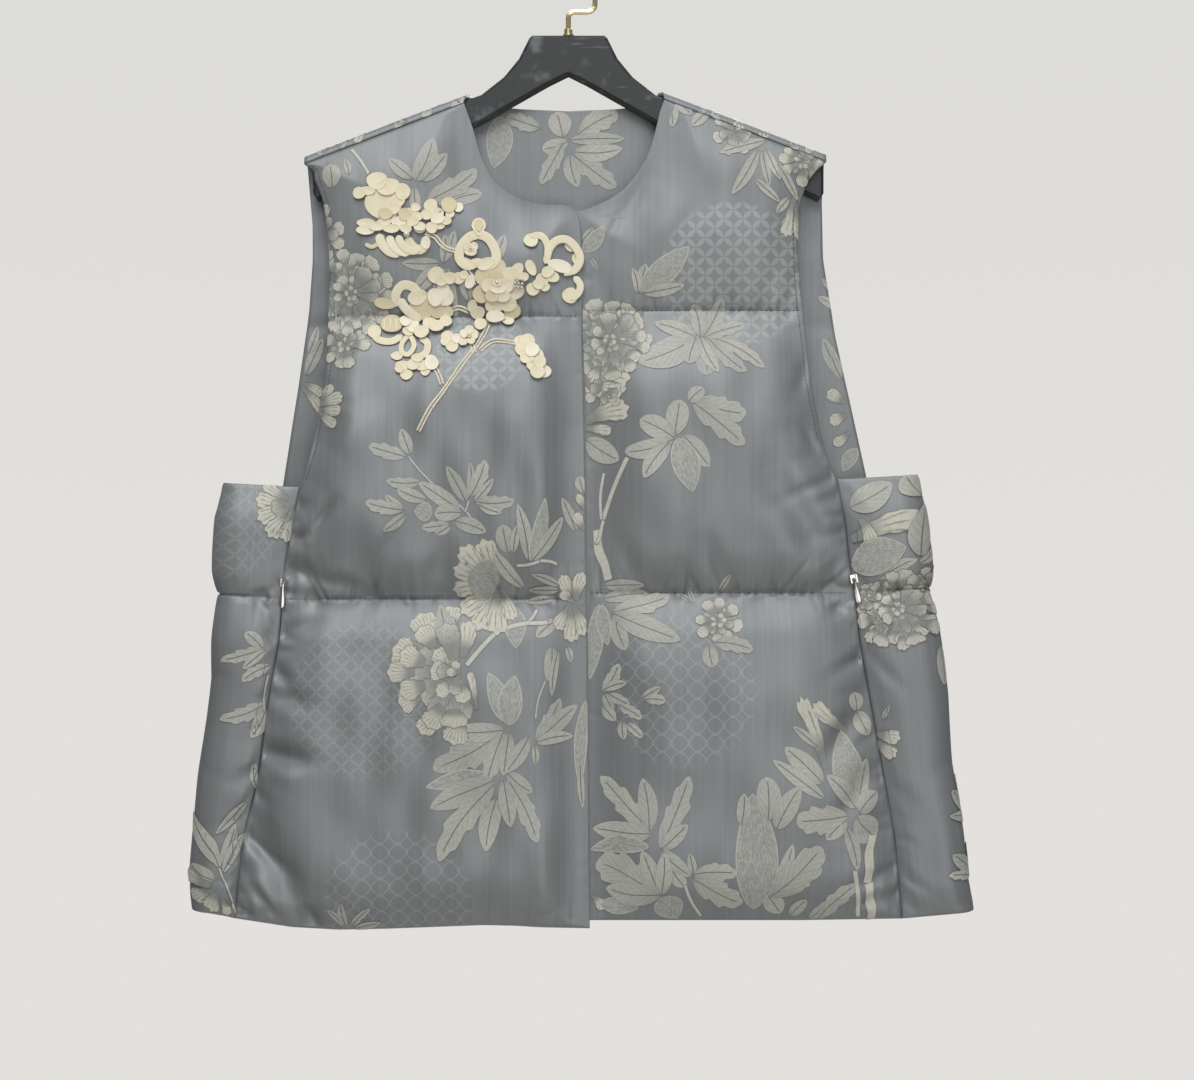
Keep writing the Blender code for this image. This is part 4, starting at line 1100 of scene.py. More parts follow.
@dataclass
class SidePanel(ClothPanel):
    """A side panel: flat from the front seam, round the fold, flat to the back seam."""

    side: Side = Side.LEFT
    seam: list[Edge] = field(default_factory=list)
    fold: list[Edge] = field(default_factory=list)
    back: list[Edge] = field(default_factory=list)
    top: tuple[float, float, float] = (0.0, 0.0, 0.0)
    low: tuple[float, float, float] = (0.0, 0.0, 0.0)
    waist: float = LEFT_WAIST
    seed: int = 7
    levels: int = 110
    columns: int = 78
    turn_from: float = 0.35

    def __post_init__(self) -> None:
        """Draw the creases along its seams."""
        sign, seed = self.side.sign, self.seed
        seam_x = float(edge_x(self.seam, self.waist))
        span = (seam_x, self.waist, seam_x + sign * 60.0, self.waist)
        lines = [PuckerLine(*span, 0, 1, 12.0, 16.0, 1.6, 2.2, seed),
                 PuckerLine(*span, 0, -1, 21.0, 18.0, 1.8, 3.6, seed + 1)]
        for k, (upper, lower) in enumerate(zip(self.seam, self.seam[1:])):
            lines += [PuckerLine(*upper, *lower, sign, -0.3, 17.0, 16.0, 0.7, 3.2, seed + 3 + k),
                      PuckerLine(*upper, *lower, sign, -0.5, 34.0, 38.0, 1.7, 6.5, seed + 13 + k)]
        self.creases = all_creases(lines)
        first, last = self.seam[0].z, self.seam[-1].z
        self.waist_drop = (first - self.waist) / (first - last)

    def place(self, path: np.ndarray, drop: np.ndarray, inner: bool = False) -> np.ndarray:
        """Points of the panel: path runs 0 at the front seam, 0.5 at the fold, 1 at the back.

        Args:
            path: share along the path in plan.
            drop: share of the height from the top edge to the hem.
            inner: the inner face instead of the outer.

        Returns:
            Points with a last axis of 3.
        """
        sign, flat = self.side.sign, self.turn_from
        seam_z = self.seam[0].z + (self.seam[-1].z - self.seam[0].z) * drop
        top, low = (np.interp(path, [0.0, 0.5, 1.0], ends) for ends in (self.top, self.low))
        z = top + (low - top) * drop
        start_x, turn_x, end_x, radius = self.spans(seam_z, z)
        middle = (front_plane(seam_z) + back_plane(seam_z)) / 2
        angle = np.pi * np.clip((path - flat) / (1.0 - 2.0 * flat), 0.0, 1.0)
        x = np.where(path < 0.5, start_x + (turn_x - start_x) * np.clip(path / flat, 0.0, 1.0),
                     end_x + (turn_x - end_x) * np.clip((1.0 - path) / flat, 0.0, 1.0))
        x = x + sign * radius * np.sin(angle)
        y = middle - radius * np.cos(angle)
        if inner:
            return np.stack([x, y, z], -1)
        from_seams = np.where(path > 0.5, np.abs(x - end_x), np.abs(x - start_x) + radius * angle)
        puff = (SIDE_PUFF * rise(from_seams, SEAM_REACH * 0.8)
                * rise(top - z, 36.0, 0.4) * rise(z - low, 24.0))
        off_line = z - (top + (low - top) * self.waist_drop)
        puff = puff * rise(np.abs(off_line), np.where(off_line > 0, 20.0, 40.0)) * zip_dimple(x, z)
        share = puff / SIDE_PUFF * (0.25 + 0.75 * np.abs(2 * path - 1))
        puff = puff + 1.5 * share * soft_cloud(x * 1.5 + 40 * path, z, self.seed + 50, 75.0)
        wall = EDGE_WALL + np.maximum(puff, -0.5)
        return np.stack([x + sign * wall * np.sin(angle), y - wall * np.cos(angle), z], -1)

    def spans(self, seam_z: np.ndarray, z: np.ndarray) -> tuple[np.ndarray, ...]:
        """Where the panel starts, turns and ends, as x, and its radius at the fold.

        Near the top edge and the hem, where the padding ends, the fold stands out by as much,
        which keeps the corners square.
        """
        sign = self.side.sign
        radius = (back_plane(seam_z) - front_plane(seam_z)) / 2
        full = rise(self.top[1] - z, 36.0, 0.4) * rise(z - self.low[1], 24.0)
        square = 0.95 * SIDE_PUFF * (1.0 - full)
        fold_x = sign * (np.abs(edge_x(self.fold, z)) - EDGE_WALL - SIDE_PUFF + square)
        start, end = (edge_x(seam, seam_z) + sign * SEAM_GAP for seam in (self.seam, self.back))
        return start, fold_x - sign * radius, end, radius

    def lay(self, x: np.ndarray, z: np.ndarray,
            lift: np.ndarray | float) -> tuple[np.ndarray, np.ndarray]:
        """Points under flat places, x going on round the fold, and whether they are on it."""
        drop = (self.top[0] - z) / (self.top[0] - self.low[0])
        out = self.side.sign * (x - edge_x(self.seam, z))
        start, turn, end, radius = self.spans(z, z)
        first, arc, last = np.abs(turn - start), np.pi * radius, np.abs(turn - end)
        flat = self.turn_from
        path = np.where(out < first, flat * out / first, np.where(
            out < first + arc, flat + (1 - 2 * flat) * (out - first) / arc,
            1 - flat + flat * (out - first - arc) / last))
        row = np.interp(drop, self.drops, np.arange(len(self.drops)))
        inside = (out > 0) & (out < first + arc + last) & (drop > 0) & (drop < 1)
        return self.sample(2.0 * row, path * (self.columns - 1), lift), inside

    def build(self, cloth: SatinCloth, roundels: list[Roundel]) -> bpy.types.Object:
        """Make the panel's padded wall."""
        at_waist, upper = self.waist_drop, int(self.levels * self.waist_drop)
        self.drops = np.concatenate([
            at_waist * eased(upper, 0.45),
            at_waist + (1 - at_waist) * eased(self.levels - upper, 0.4)[1:]])
        path, drop = np.meshgrid(np.linspace(0.0, 1.0, self.columns), self.drops)
        inner, outer = self.place(path, drop, inner=True), self.place(path, drop)
        held = held_rim(path.shape)
        held[np.argmin(np.abs(self.drops - at_waist))] = True
        cap = 2.5 * smooth_step(np.sin(np.pi * path) * 3.0) * smooth_step(drop * 12.0) + 0.02
        cap = cap * (0.3 + 0.7 * np.abs(2 * path - 1)) * smooth_step((1.0 - drop) * 12.0) + 0.02
        outer = finer(gather(outer, inner, held, 0.04, 2.0, cap, 16), 1.0, 2.0)
        inner, path = finer(inner, 1.0, 2.0), finer(path[..., None], 1.0, 2.0)[..., 0]
        relief = (crease_relief(outer[..., 0], outer[..., 2], self.creases)
                  * smooth_step((0.4 - path) * 6.0) * smooth_step(path * 9.0))
        least = np.where(path < self.turn_from, -1.2, 99.0)
        outer[..., 1] = np.minimum(outer[..., 1] + relief, inner[..., 1] + least)
        out = np.interp(path, [0.0, 0.35, 0.65, 1.0], [0.0, 46.0, 82.0, 128.0])
        flat = np.stack([out, inner[..., 2]], -1)
        return self.shell(inner, outer, flat, cloth.build(f"side_{self.side.value}", roundels))


@dataclass
class BackPanel(ClothPanel):
    """The back: up from the hem, over the hanger, down to the shoulder seams in front."""

    seed: int = 31
    corner: float = HANGER_BEVEL
    half: float = HANGER_THICK / 2 + HANGER_CLEAR
    shoulder_rows: int = 14

    def path_point(self, x: np.ndarray, reach: np.ndarray) -> tuple[np.ndarray, ...]:
        """Inner face and outward direction: reach is height, then length over the hanger."""
        corner = self.corner
        bend = top_line(x) - EDGE_WALL - corner
        over, quarter, flat = reach - bend, corner * np.pi / 2, 2 * (self.half - corner)
        first = np.clip(over / quarter, 0.0, 1.0) * np.pi / 2
        crossing = np.clip(over - quarter, 0.0, flat)
        second = np.clip((over - quarter - flat) / quarter, 0.0, 1.0) * np.pi / 2
        down = np.maximum(over - 2 * quarter - flat, 0.0)
        height = np.minimum(reach, bend)
        y = back_plane(height) - corner * (1 - np.cos(first) + np.sin(second)) - crossing
        z = height + corner * (np.sin(first) - 1 + np.cos(second)) - down
        return y, z, np.cos(first + second), np.sin(first + second)

    def grid(self) -> tuple[np.ndarray, np.ndarray, np.ndarray]:
        """Columns and reaches of the fine grid, and where each column ends."""
        over_length = self.corner * np.pi + 2 * (self.half - self.corner)
        seam_down = SHOULDER_DROP - EDGE_WALL - self.corner - SEAM_GAP
        left_top = np.concatenate([np.linspace(0, 70, 24)[1:], np.linspace(*LEFT_NECK_TURN, 12),
                                   np.linspace(80, -BACK_LEFT[0].x, 40)])
        right_top = np.concatenate([np.linspace(0, 64, 22), np.linspace(*RIGHT_NECK_TURN, 12),
                                    np.linspace(74, BACK_RIGHT[0].x, 40)])
        top_x = np.concatenate([-left_top[::-1], right_top])
        share = np.linspace(0.0, 1.0, len(top_x))
        bend = top_line(top_x) - EDGE_WALL - self.corner
        turn_from, turn_to = np.where(top_x[None, :] < 0.0, np.array([LEFT_NECK_TURN]).T,
                                      np.array([RIGHT_NECK_TURN]).T)
        across = np.clip((np.abs(top_x) - turn_from) / (turn_to - turn_from), 0.0, 1.0)
        end = np.where(np.abs(top_x) < turn_from, edge_z(BACK_NECK, np.abs(top_x)),
                       bend + (over_length + seam_down) * across)
        start = np.minimum(bend, end - 9.0)
        hem = -713.5 - 1.5 * np.sin(np.pi * share)
        waist, chest = np.full_like(hem, BACK_WAIST), np.full_like(hem, BACK_CHEST)
        rows = [hem]
        for low, high, parts in ((hem, waist, eased(62, 0.4)), (waist, chest, eased(56, 0.4)),
                                 (chest, start, eased(40, 0.3)),
                                 (start, end, np.linspace(0.0, 1.0, self.shoulder_rows + 1))):
            rows += [low + (high - low) * part for part in parts[1:]]
        reach = np.array(rows)
        low = np.minimum(reach, BACK_LEFT[0].z)
        left_x, right_x = edge_x(BACK_LEFT, low), edge_x(BACK_RIGHT, low)
        ruled = left_x + (right_x - left_x) * share[None, :]
        x = ruled + (top_x[None, :] - ruled) * smooth_step(
            (reach - BACK_CHEST) / (-135.0 - BACK_CHEST))
        x[:, 0], x[:, -1] = left_x[:, 0], right_x[:, -1]
        return x, reach, np.broadcast_to(end, reach.shape)

    def wall(self, x: np.ndarray, z: np.ndarray, reach: np.ndarray,
             below_top: np.ndarray) -> np.ndarray:
        """Thickness: puff times its rise from seams, quilt lines and the hanger."""
        edge = outline_distance(x, z, [*BACK_LEFT, *BACK_RIGHT[::-1]])
        puff = (quilted(reach, BACK_CHEST, BACK_WAIST) * rise(edge, SEAM_REACH)
                * rise(np.maximum(below_top - 34.0, 0.0), 60.0))
        share = puff / BODY_PUFF
        puff = puff + 1.6 * share * soft_cloud(x, z * 0.7, self.seed + 20, 110.0)
        puff = puff + 0.5 * share * soft_cloud(x, z, self.seed + 21, 45.0)
        return EDGE_WALL + np.maximum(puff, -0.5 * np.clip(edge / 4.0, 0.0, 1.0))

    def creases(self) -> list[Fold]:
        """Creases along the quilt lines and the side seams."""
        lines, seed = [], self.seed
        for k, line in enumerate((BACK_CHEST, BACK_WAIST)):
            span = (-215.0, line, 225.0, line)
            lines += [PuckerLine(*span, 0, 1, 12.0, 24.0, 1.5, 2.2, seed + k),
                      PuckerLine(*span, 0, -1, 14.0, 16.0, 0.9, 2.2, seed + 4 + k)]
        for k, (table, sign) in enumerate(((BACK_LEFT, 1.0), (BACK_RIGHT, -1.0))):
            lines += [PuckerLine(*upper, *lower, sign, -0.2, 18.0, 18.0, 1.3, 2.6, seed + 9 + k)
                      for upper, lower in zip(table[5:], table[6:])]
        return all_creases(lines)

    def build(self, cloth: SatinCloth, roundels: list[Roundel]) -> bpy.types.Object:
        """Make the back's padded wall, with the quilt line dented into its inner face."""
        x, reach, end = self.grid()
        y, z, out_y, out_z = self.path_point(x, reach)
        below = np.minimum(end - reach, 200.0)
        wall = self.wall(x, z, reach, below)
        dent = (1.2 * np.exp(-((reach - BACK_CHEST) / 7.0) ** 2)
                + 0.6 * np.abs(soft_cloud(x, z, self.seed + 33, 60.0))) * (reach < -180.0)
        inner = np.stack([x, y + dent, z], 2)
        outer = np.stack([x, y + wall * out_y, z + wall * out_z], 2)
        held = held_rim(x.shape)
        held[-self.shoulder_rows - 2:] = True
        for line in (BACK_CHEST, BACK_WAIST):
            held |= np.abs(reach - line) < 0.9
        cap = 7.0 * smooth_step((below - 20.0) / 90.0) + 0.01
        outer = gather(outer, inner, held, 0.05, 3.0, cap)
        outer[..., 1] -= crease_relief(x, z, self.creases()) * (below > 40.0)
        self.flat = np.stack([x, reach], 2)
        return self.shell(inner, outer, self.flat, cloth.build("back", roundels))

    def lay(self, x: np.ndarray, reach: np.ndarray, lift: np.ndarray | float,
            label: str = "outer") -> tuple[np.ndarray, np.ndarray]:
        """Points under flat places on either face, found by halving the columns."""
        rows, columns = self.flat.shape[:2]
        row = np.interp(reach, self.flat[:, columns // 2, 1], np.arange(rows))
        base = np.minimum(row.astype(int), rows - 2)
        part = row - base
        low, high = np.zeros(x.shape), np.full(x.shape, columns - 1.001)
        for _ in range(16):
            column = (low + high) / 2
            left = column.astype(int)
            here, after = (self.flat[base, c, 0] * (1 - part) + self.flat[base + 1, c, 0] * part
                           for c in (left, left + 1))
            here = here + (after - here) * (column - left)
            low, high = np.where(here < x, column, low), np.where(here < x, high, column)
        inside = (np.abs(here - x) < 0.6) & (row > 0.5) & (row < rows - 1.5)
        return self.sample(row, column, lift, label), inside

    def lay_inside(self, x: np.ndarray, reach: np.ndarray,
                   lift: np.ndarray | float) -> tuple[np.ndarray, np.ndarray]:
        """Points on the face that shows through the neck and armholes."""
        return self.lay(x, reach, lift, "inner")


# Woven figures


class Sort(Enum):
    """Sort of a woven figure: how it is outlined, and the number its finish knows it by."""

    LEAF = "l"
    NOTCHED = "b"
    ROUND = "r"
    HATCHED = "t"
    PETAL = "p"
    INNER = "q"
    STEM = "s"
    TRUNK = "w"

    @property
    def number(self) -> float:
        """0 leaf, 1 hatched, 2 petal, 3 inner petal, 4 stem."""
        return {"t": 1.0, "p": 2.0, "q": 3.0, "s": 4.0, "w": 4.0}.get(self.value, 0.0)

    def half_width(self, along: np.ndarray, side: np.ndarray) -> np.ndarray:
        """Half width as a share of the most: a power of the way from base and from tip.

        Args:
            along: 0 at the base to 1 at the tip.
            side: -1 or 1, since notches differ from side to side.

        Returns:
            The share at each point.
        """
        rest = 1.0 - along
        if self is Sort.ROUND:
            return np.sqrt(np.clip(np.sin(np.pi * along ** 1.15), 0.0, 1.0))
        if self in (Sort.PETAL, Sort.INNER):
            frill = 1.0 + 0.06 * np.sin(along * 21.0 + side)
            return (0.3 + 0.7 * along ** 0.8) * (1.0 - 0.16 * smooth_step(along * 4 - 3)) * frill
        if self is Sort.HATCHED:
            return np.clip(np.sin(np.pi * along ** 0.85), 0.0, 1.0) ** 0.75
        if self is Sort.STEM:
            return np.ones_like(along)
        if self is Sort.TRUNK:
            return 0.84 + 0.16 * np.sin(along * 9.0 + 2.0 * side)
        lens = along ** 0.62 * rest ** 0.72 / 0.41
        if self is Sort.NOTCHED:
            phase = np.mod(along * 3.4 + 0.23 * side, 1.0)
            notch = 1.0 - np.minimum(phase / 0.75, (1.0 - phase) / 0.25)
            lens = lens * (1.0 - 0.36 * notch * smooth_step((along - 0.2) * 6.0) * rest ** 0.2)
        return lens


class Patch(NamedTuple):
    """One woven figure: base, tip, width and sort."""

    x0: float
    z0: float
    x1: float
    z1: float
    width: float
    sort: Sort

    def grid(self, bend: float, finer_by: float = 1.0) -> dict[str, np.ndarray]:
        """Lay the figure out flat.

        Args:
            bend: how far its middle bows aside, as a share of its length.
            finer_by: how much closer its points stand than 1.8 mm.

        Returns:
            Grids of x and z, and in millimetres rib (from its midrib), far (from its base)
            and rim (from its edge).
        """
        run = np.array([self.x1 - self.x0, self.z1 - self.z0])
        length = float(np.hypot(*run))
        way, aside = run / length, np.array([-run[1], run[0]]) / length
        steps = int(finer_by * np.clip(length / 1.8, 10, 34))
        lanes = int(finer_by * np.clip(self.width / 1.9, 3, 16))
        along, across = np.meshgrid(np.linspace(0, 1, steps + 1), np.linspace(-1, 1, lanes + 1),
                                    indexing="ij")
        half = self.sort.half_width(along, np.sign(across)) * self.width / 2
        rib, far = half * across, along * length
        if self.sort is Sort.NOTCHED:
            far = far + 0.45 * half * np.abs(across)
        if self.sort in (Sort.PETAL, Sort.INNER):
            round_end = min(0.55 * self.width / length, 0.45)
            arc = 1.0 - np.sqrt(1.0 - 0.92 * across ** 2)
            far = far * (1.0 - round_end * arc * along + 0.04 * np.cos(8 * across) * along)
        bow = bend * length * np.sin(np.pi * along)
        x = self.x0 + way[0] * far + aside[0] * (rib + bow)
        z = self.z0 + way[1] * far + aside[1] * (rib + bow)
        rim = np.minimum(half * (1.0 - np.abs(across)), (1.0 - along) * length * 0.8)
        return {"x": x, "z": z, "rib": rib, "far": far, "rim": rim}


class Peony(NamedTuple):
    """A full-blown woven peony: rings of petals about a centre."""

    x: float
    z: float
    radius: float
    seed: int
    start: float = 0.0
    sweep: float = 360.0

    def patches(self) -> list[Patch]:
        """Short petals in rings, from the widest in, with uneven turns and lengths."""
        random = np.random.default_rng(self.seed)
        rings = ((13, 0.62, 1.0, 0.44, "p"), (12, 0.50, 0.86, 0.42, "p"), (11, 0.20, 0.72, 0.44, "q"),
                 (8, 0.14, 0.46, 0.30, "p"), (6, 0.06, 0.32, 0.26, "q"), (5, 0.0, 0.2, 0.18, "p"))
        if self.radius < 24.0:
            rings = ((8, 0.35, 1.0, 0.62, "p"), (6, 0.12, 0.66, 0.5, "q"), (5, 0.0, 0.4, 0.3, "p"))
        found = []
        for count, start, end, wide, sort in rings:
            number = max(3, round(count * self.sweep / 360.0))
            turn = self.start + random.uniform(0.0, 360.0 / count)
            for k in range(number):
                angle = math.radians(turn + (k + random.uniform(-0.25, 0.25)) * self.sweep / number)
                far = end * random.uniform(0.88, 1.06)
                lean = angle + random.uniform(-0.12, 0.12)
                found.append(Patch(self.x + self.radius * start * math.cos(angle),
                                   self.z + self.radius * start * math.sin(angle),
                                   self.x + self.radius * far * math.cos(lean),
                                   self.z + self.radius * far * math.sin(lean),
                                   self.radius * wide * random.uniform(0.8, 1.2), Sort(sort)))
        return found


def read_patches(text: str, move_x: float = 0.0, move_z: float = 0.0,
                 mirror: float = 1.0) -> list[Patch]:
    """Read figures from a table, moved or mirrored: x times mirror, plus the moves."""
    rows = [row.split() for row in text.replace("\n", " ").split(";") if row.strip()]
    return [Patch(mirror * float(r[0]) + move_x, float(r[1]) + move_z,
                  mirror * float(r[2]) + move_x, float(r[3]) + move_z, float(r[4]), Sort(r[5]))
            for r in rows]


@dataclass(frozen=True)
class FigureWeave:
    """Weft-faced figures of the jacquard: matter and yellower than the satin ground."""

    name: str = "silk_jacquard_figure"
    leaf: str = "#a0a29b"
    deep: str = "#8a8c88"
    cream: str = "#bdbbae"
    pale_rim: str = "#b0b0a6"
    line: str = "#62645f"
    roughness: float = 0.55
    vein_gap_mm: float = 6.4
    hatch_mm: float = 0.8

    def build(self) -> bpy.types.Material:
        """Make the finish; it reads each figure's own millimetres from attributes."""
        material, shader = new_material(self.name, Roughness=self.roughness,
                                        Sheen_Weight=0.2, Sheen_Roughness=0.5)
        rib, far, rim, sort, shade, size = (shader.attribute(label) for label in FIGURE_MARKS)
        beside, part = rib.do("ABSOLUTE"), far / size
        grain = shader.noise(shader.flat(), 260.0, 3.0)
        hatch = shader.noise(shader.source("ShaderNodeCombineXYZ", 0, {
            0: rib * (1.0 / self.hatch_mm), 1: far * (0.28 / self.hatch_mm),
            2: shade * 50.0}), 1.0, 2.0)
        hatch_line = hatch.band(0.46, 0.56)
        # Leaf: midrib, side veins, paler rim
        midrib = beside.band(0.55, 0.22) * part.band(0.93, 0.85)
        vein = (far - beside * 1.7).do("PINGPONG", self.vein_gap_mm / 2)
        vein = vein.band(0.5, 0.15) * 0.45 * rim.band(0.6, 1.6)
        leaf = shade.mix(self.leaf, "#acaca3")
        leaf = (part.band(0.45, 0.0) * 0.45).mix(leaf, self.deep)
        leaf = (rim.band(0.9, 0.3) * 0.5).mix(leaf, "#b4b4a9")
        leaf = (rim.band(0.45, 0.15) * 0.7).most(midrib.most(vein)).mix(leaf, self.line)
        hatched = rim.band(1.1, 0.5).mix(hatch_line.mix("#8d8f8b", "#a1a39b"), self.pale_rim)
        # Petal: pale towards its rim, with strokes that run in from it
        stroke = (rib / (far + 3.0) + hatch * 0.06).do("PINGPONG", 0.075).band(0.024, 0.008)
        stroke = stroke * (part.band(0.38, 0.6) * part.band(0.90, 0.78))
        edge = rim.band(0.75, 0.3) * 0.85
        pale = part.band(0.2, 0.62).mix("#7d807b", self.cream)
        pale = edge.mix((stroke * 0.65).mix(pale, self.line), self.line)
        inner = part.band(0.3, 0.95).mix("#838581", self.pale_rim)
        inner = edge.mix((hatch_line * 0.3).mix(inner, self.line), self.line)
        stem = rim.band(0.75, 0.3).mix("#bdbbaf", "#77797a")
        colour = leaf
        for number, other in enumerate((hatched, pale, inner, stem), 1):
            colour = sort.do("COMPARE", float(number), 0.4).mix(colour, other)
        shader.bump(grain, 0.12, 0.0003)
        shader.link(Base_Color=(grain.band(0.35, 0.75) * 0.22).mix(colour, "#6f7376"))
        return material


@dataclass
class FigureLayer:
    """All the woven figures of one panel, as thin patches that follow its face."""

    name: str
    patches: list[Patch]
    lift: float = 0.2
    step: float = 0.022
    cycle: int = 14
    seed: int = 5
    finer_by: float = 1.0

    def build(self, lay: Callable, material: bpy.types.Material) -> bpy.types.Object:
        """Lay every patch, cut it at the panel's edge and join them.

        Args:
            lay: gives points and whether they are on the panel, from x, z and lift.
            material: the figures' finish.

        Returns:
            One object on the panel's body.
        """
        random = np.random.default_rng(self.seed)
        points, faces, flats, count = [], [], [], 0
        marks: dict[str, list] = {label: [] for label in FIGURE_MARKS}
        for number, patch in enumerate(self.patches):
            flat = patch.grid(random.uniform(-0.06, 0.06), self.finer_by)
            place, inside = lay(flat["x"], flat["z"], self.lift + self.step * (number % self.cycle))
            quads = grid_faces(*flat["x"].shape)
            quads = quads[inside.ravel()[quads].any(1)]
            if not len(quads):
                continue
            used, quads = np.unique(quads, return_inverse=True)
            faces.append(quads.reshape(-1, 4) + count)
            points.append(place.reshape(-1, 3)[used])
            flats.append(np.stack([flat["x"], flat["z"]], -1).reshape(-1, 2)[used] * MM)
            for label in ("rib", "far", "rim"):
                marks[label].append(flat[label].ravel()[used])
            length = math.hypot(patch.x1 - patch.x0, patch.z1 - patch.z0)
            for label, value in (("sort", patch.sort.number), ("size", length),
                                 ("shade", random.uniform(0.0, 1.0))):
                marks[label].append(np.full(len(used), value))
            count += len(used)
        all_points, quads = np.concatenate(points), np.concatenate(faces)
        out = self.outward(all_points[quads].mean(1))
        turned = np.einsum("ij,ij->i", diagonal_normals(all_points, quads), out) < 0.0
        quads[turned] = quads[turned][:, ::-1]
        piece = new_piece(self.name, all_points, quads, material, np.concatenate(flats),
                          {k: np.concatenate(v) for k, v in marks.items()})
        dress(piece, "silk")
        return piece

    def outward(self, middle: np.ndarray) -> np.ndarray:
        """Way out of the garment at each point: away from its middle plane."""
        if "neck" in self.name:
            return np.tile([0.0, -1.0, 0.0], (len(middle), 1))
        return np.stack([0.01 * middle[:, 0], np.sign(middle[:, 1] + 0.5),
                         0.5 * (middle[:, 2] > -160.0)], 1)


# Applique


@dataclass(frozen=True)
class CutCloth:
    """Stiffened cream cloth, cut to shape: matt, finely woven, tan where dyed."""

    name: str = "stiffened_cotton_cut"
    thread_mm: float = 0.45

    def build(self) -> bpy.types.Material:
        """Make the petals' finish; tone tells cream, tan and pale pieces apart; edges get painted
        shade.
        """
        material, shader = new_material(self.name, Roughness=0.72, Sheen_Weight=0.3,
                                        Sheen_Roughness=0.5)
        place, tone = shader.place(), shader.attribute("tone")
        across, _, up = shader.split(place)
        turns = 2 * math.pi / (self.thread_mm * MM)
        colour = tone.do("COMPARE", 1.0, 0.3).mix("#ddd5ba", "#cdc3a3")
        colour = tone.do("COMPARE", 2.0, 0.3).mix(colour, "#e5dfcb")
        cloud = shader.noise(place, 130.0, 3.0).band(0.4, 0.7) * 0.25
        # Painted shade: the outermost rim of each piece, its sides and its flat back darken towards
        # #a89a74.
        rim = shader.attribute("rim").band(0.95, 1.0) * 0.25
        shader.bump((across * turns).do("SINE") * (up * turns).do("SINE"), 0.15, 0.0001)
        shader.link(Base_Color=rim.mix(cloud.mix(colour, "#c8bd9c"), "#a89a74"))
        return material


@dataclass(frozen=True)
class CordThread:
    """Two-ply couching cord of matt ivory thread."""

    name: str = "twisted_cotton_cord"

    def build(self) -> bpy.types.Material:
        """Make the cord: its plies come from the mesh, its fibres from a noise, its grooves painted
        shade.
        """
        material, shader = new_material(self.name, Roughness=0.8, Sheen_Weight=0.3)
        fibre = shader.noise(shader.place(), 900.0, 3.0).band(0.35, 0.7)
        # Painted shade: the dip between the two plies is darkened towards #8d8470.
        groove = shader.attribute("groove") * 0.6
        shader.link(Base_Color=groove.mix(fibre.mix("#d8d0bb", "#efe9db"), "#8d8470"))
        return material


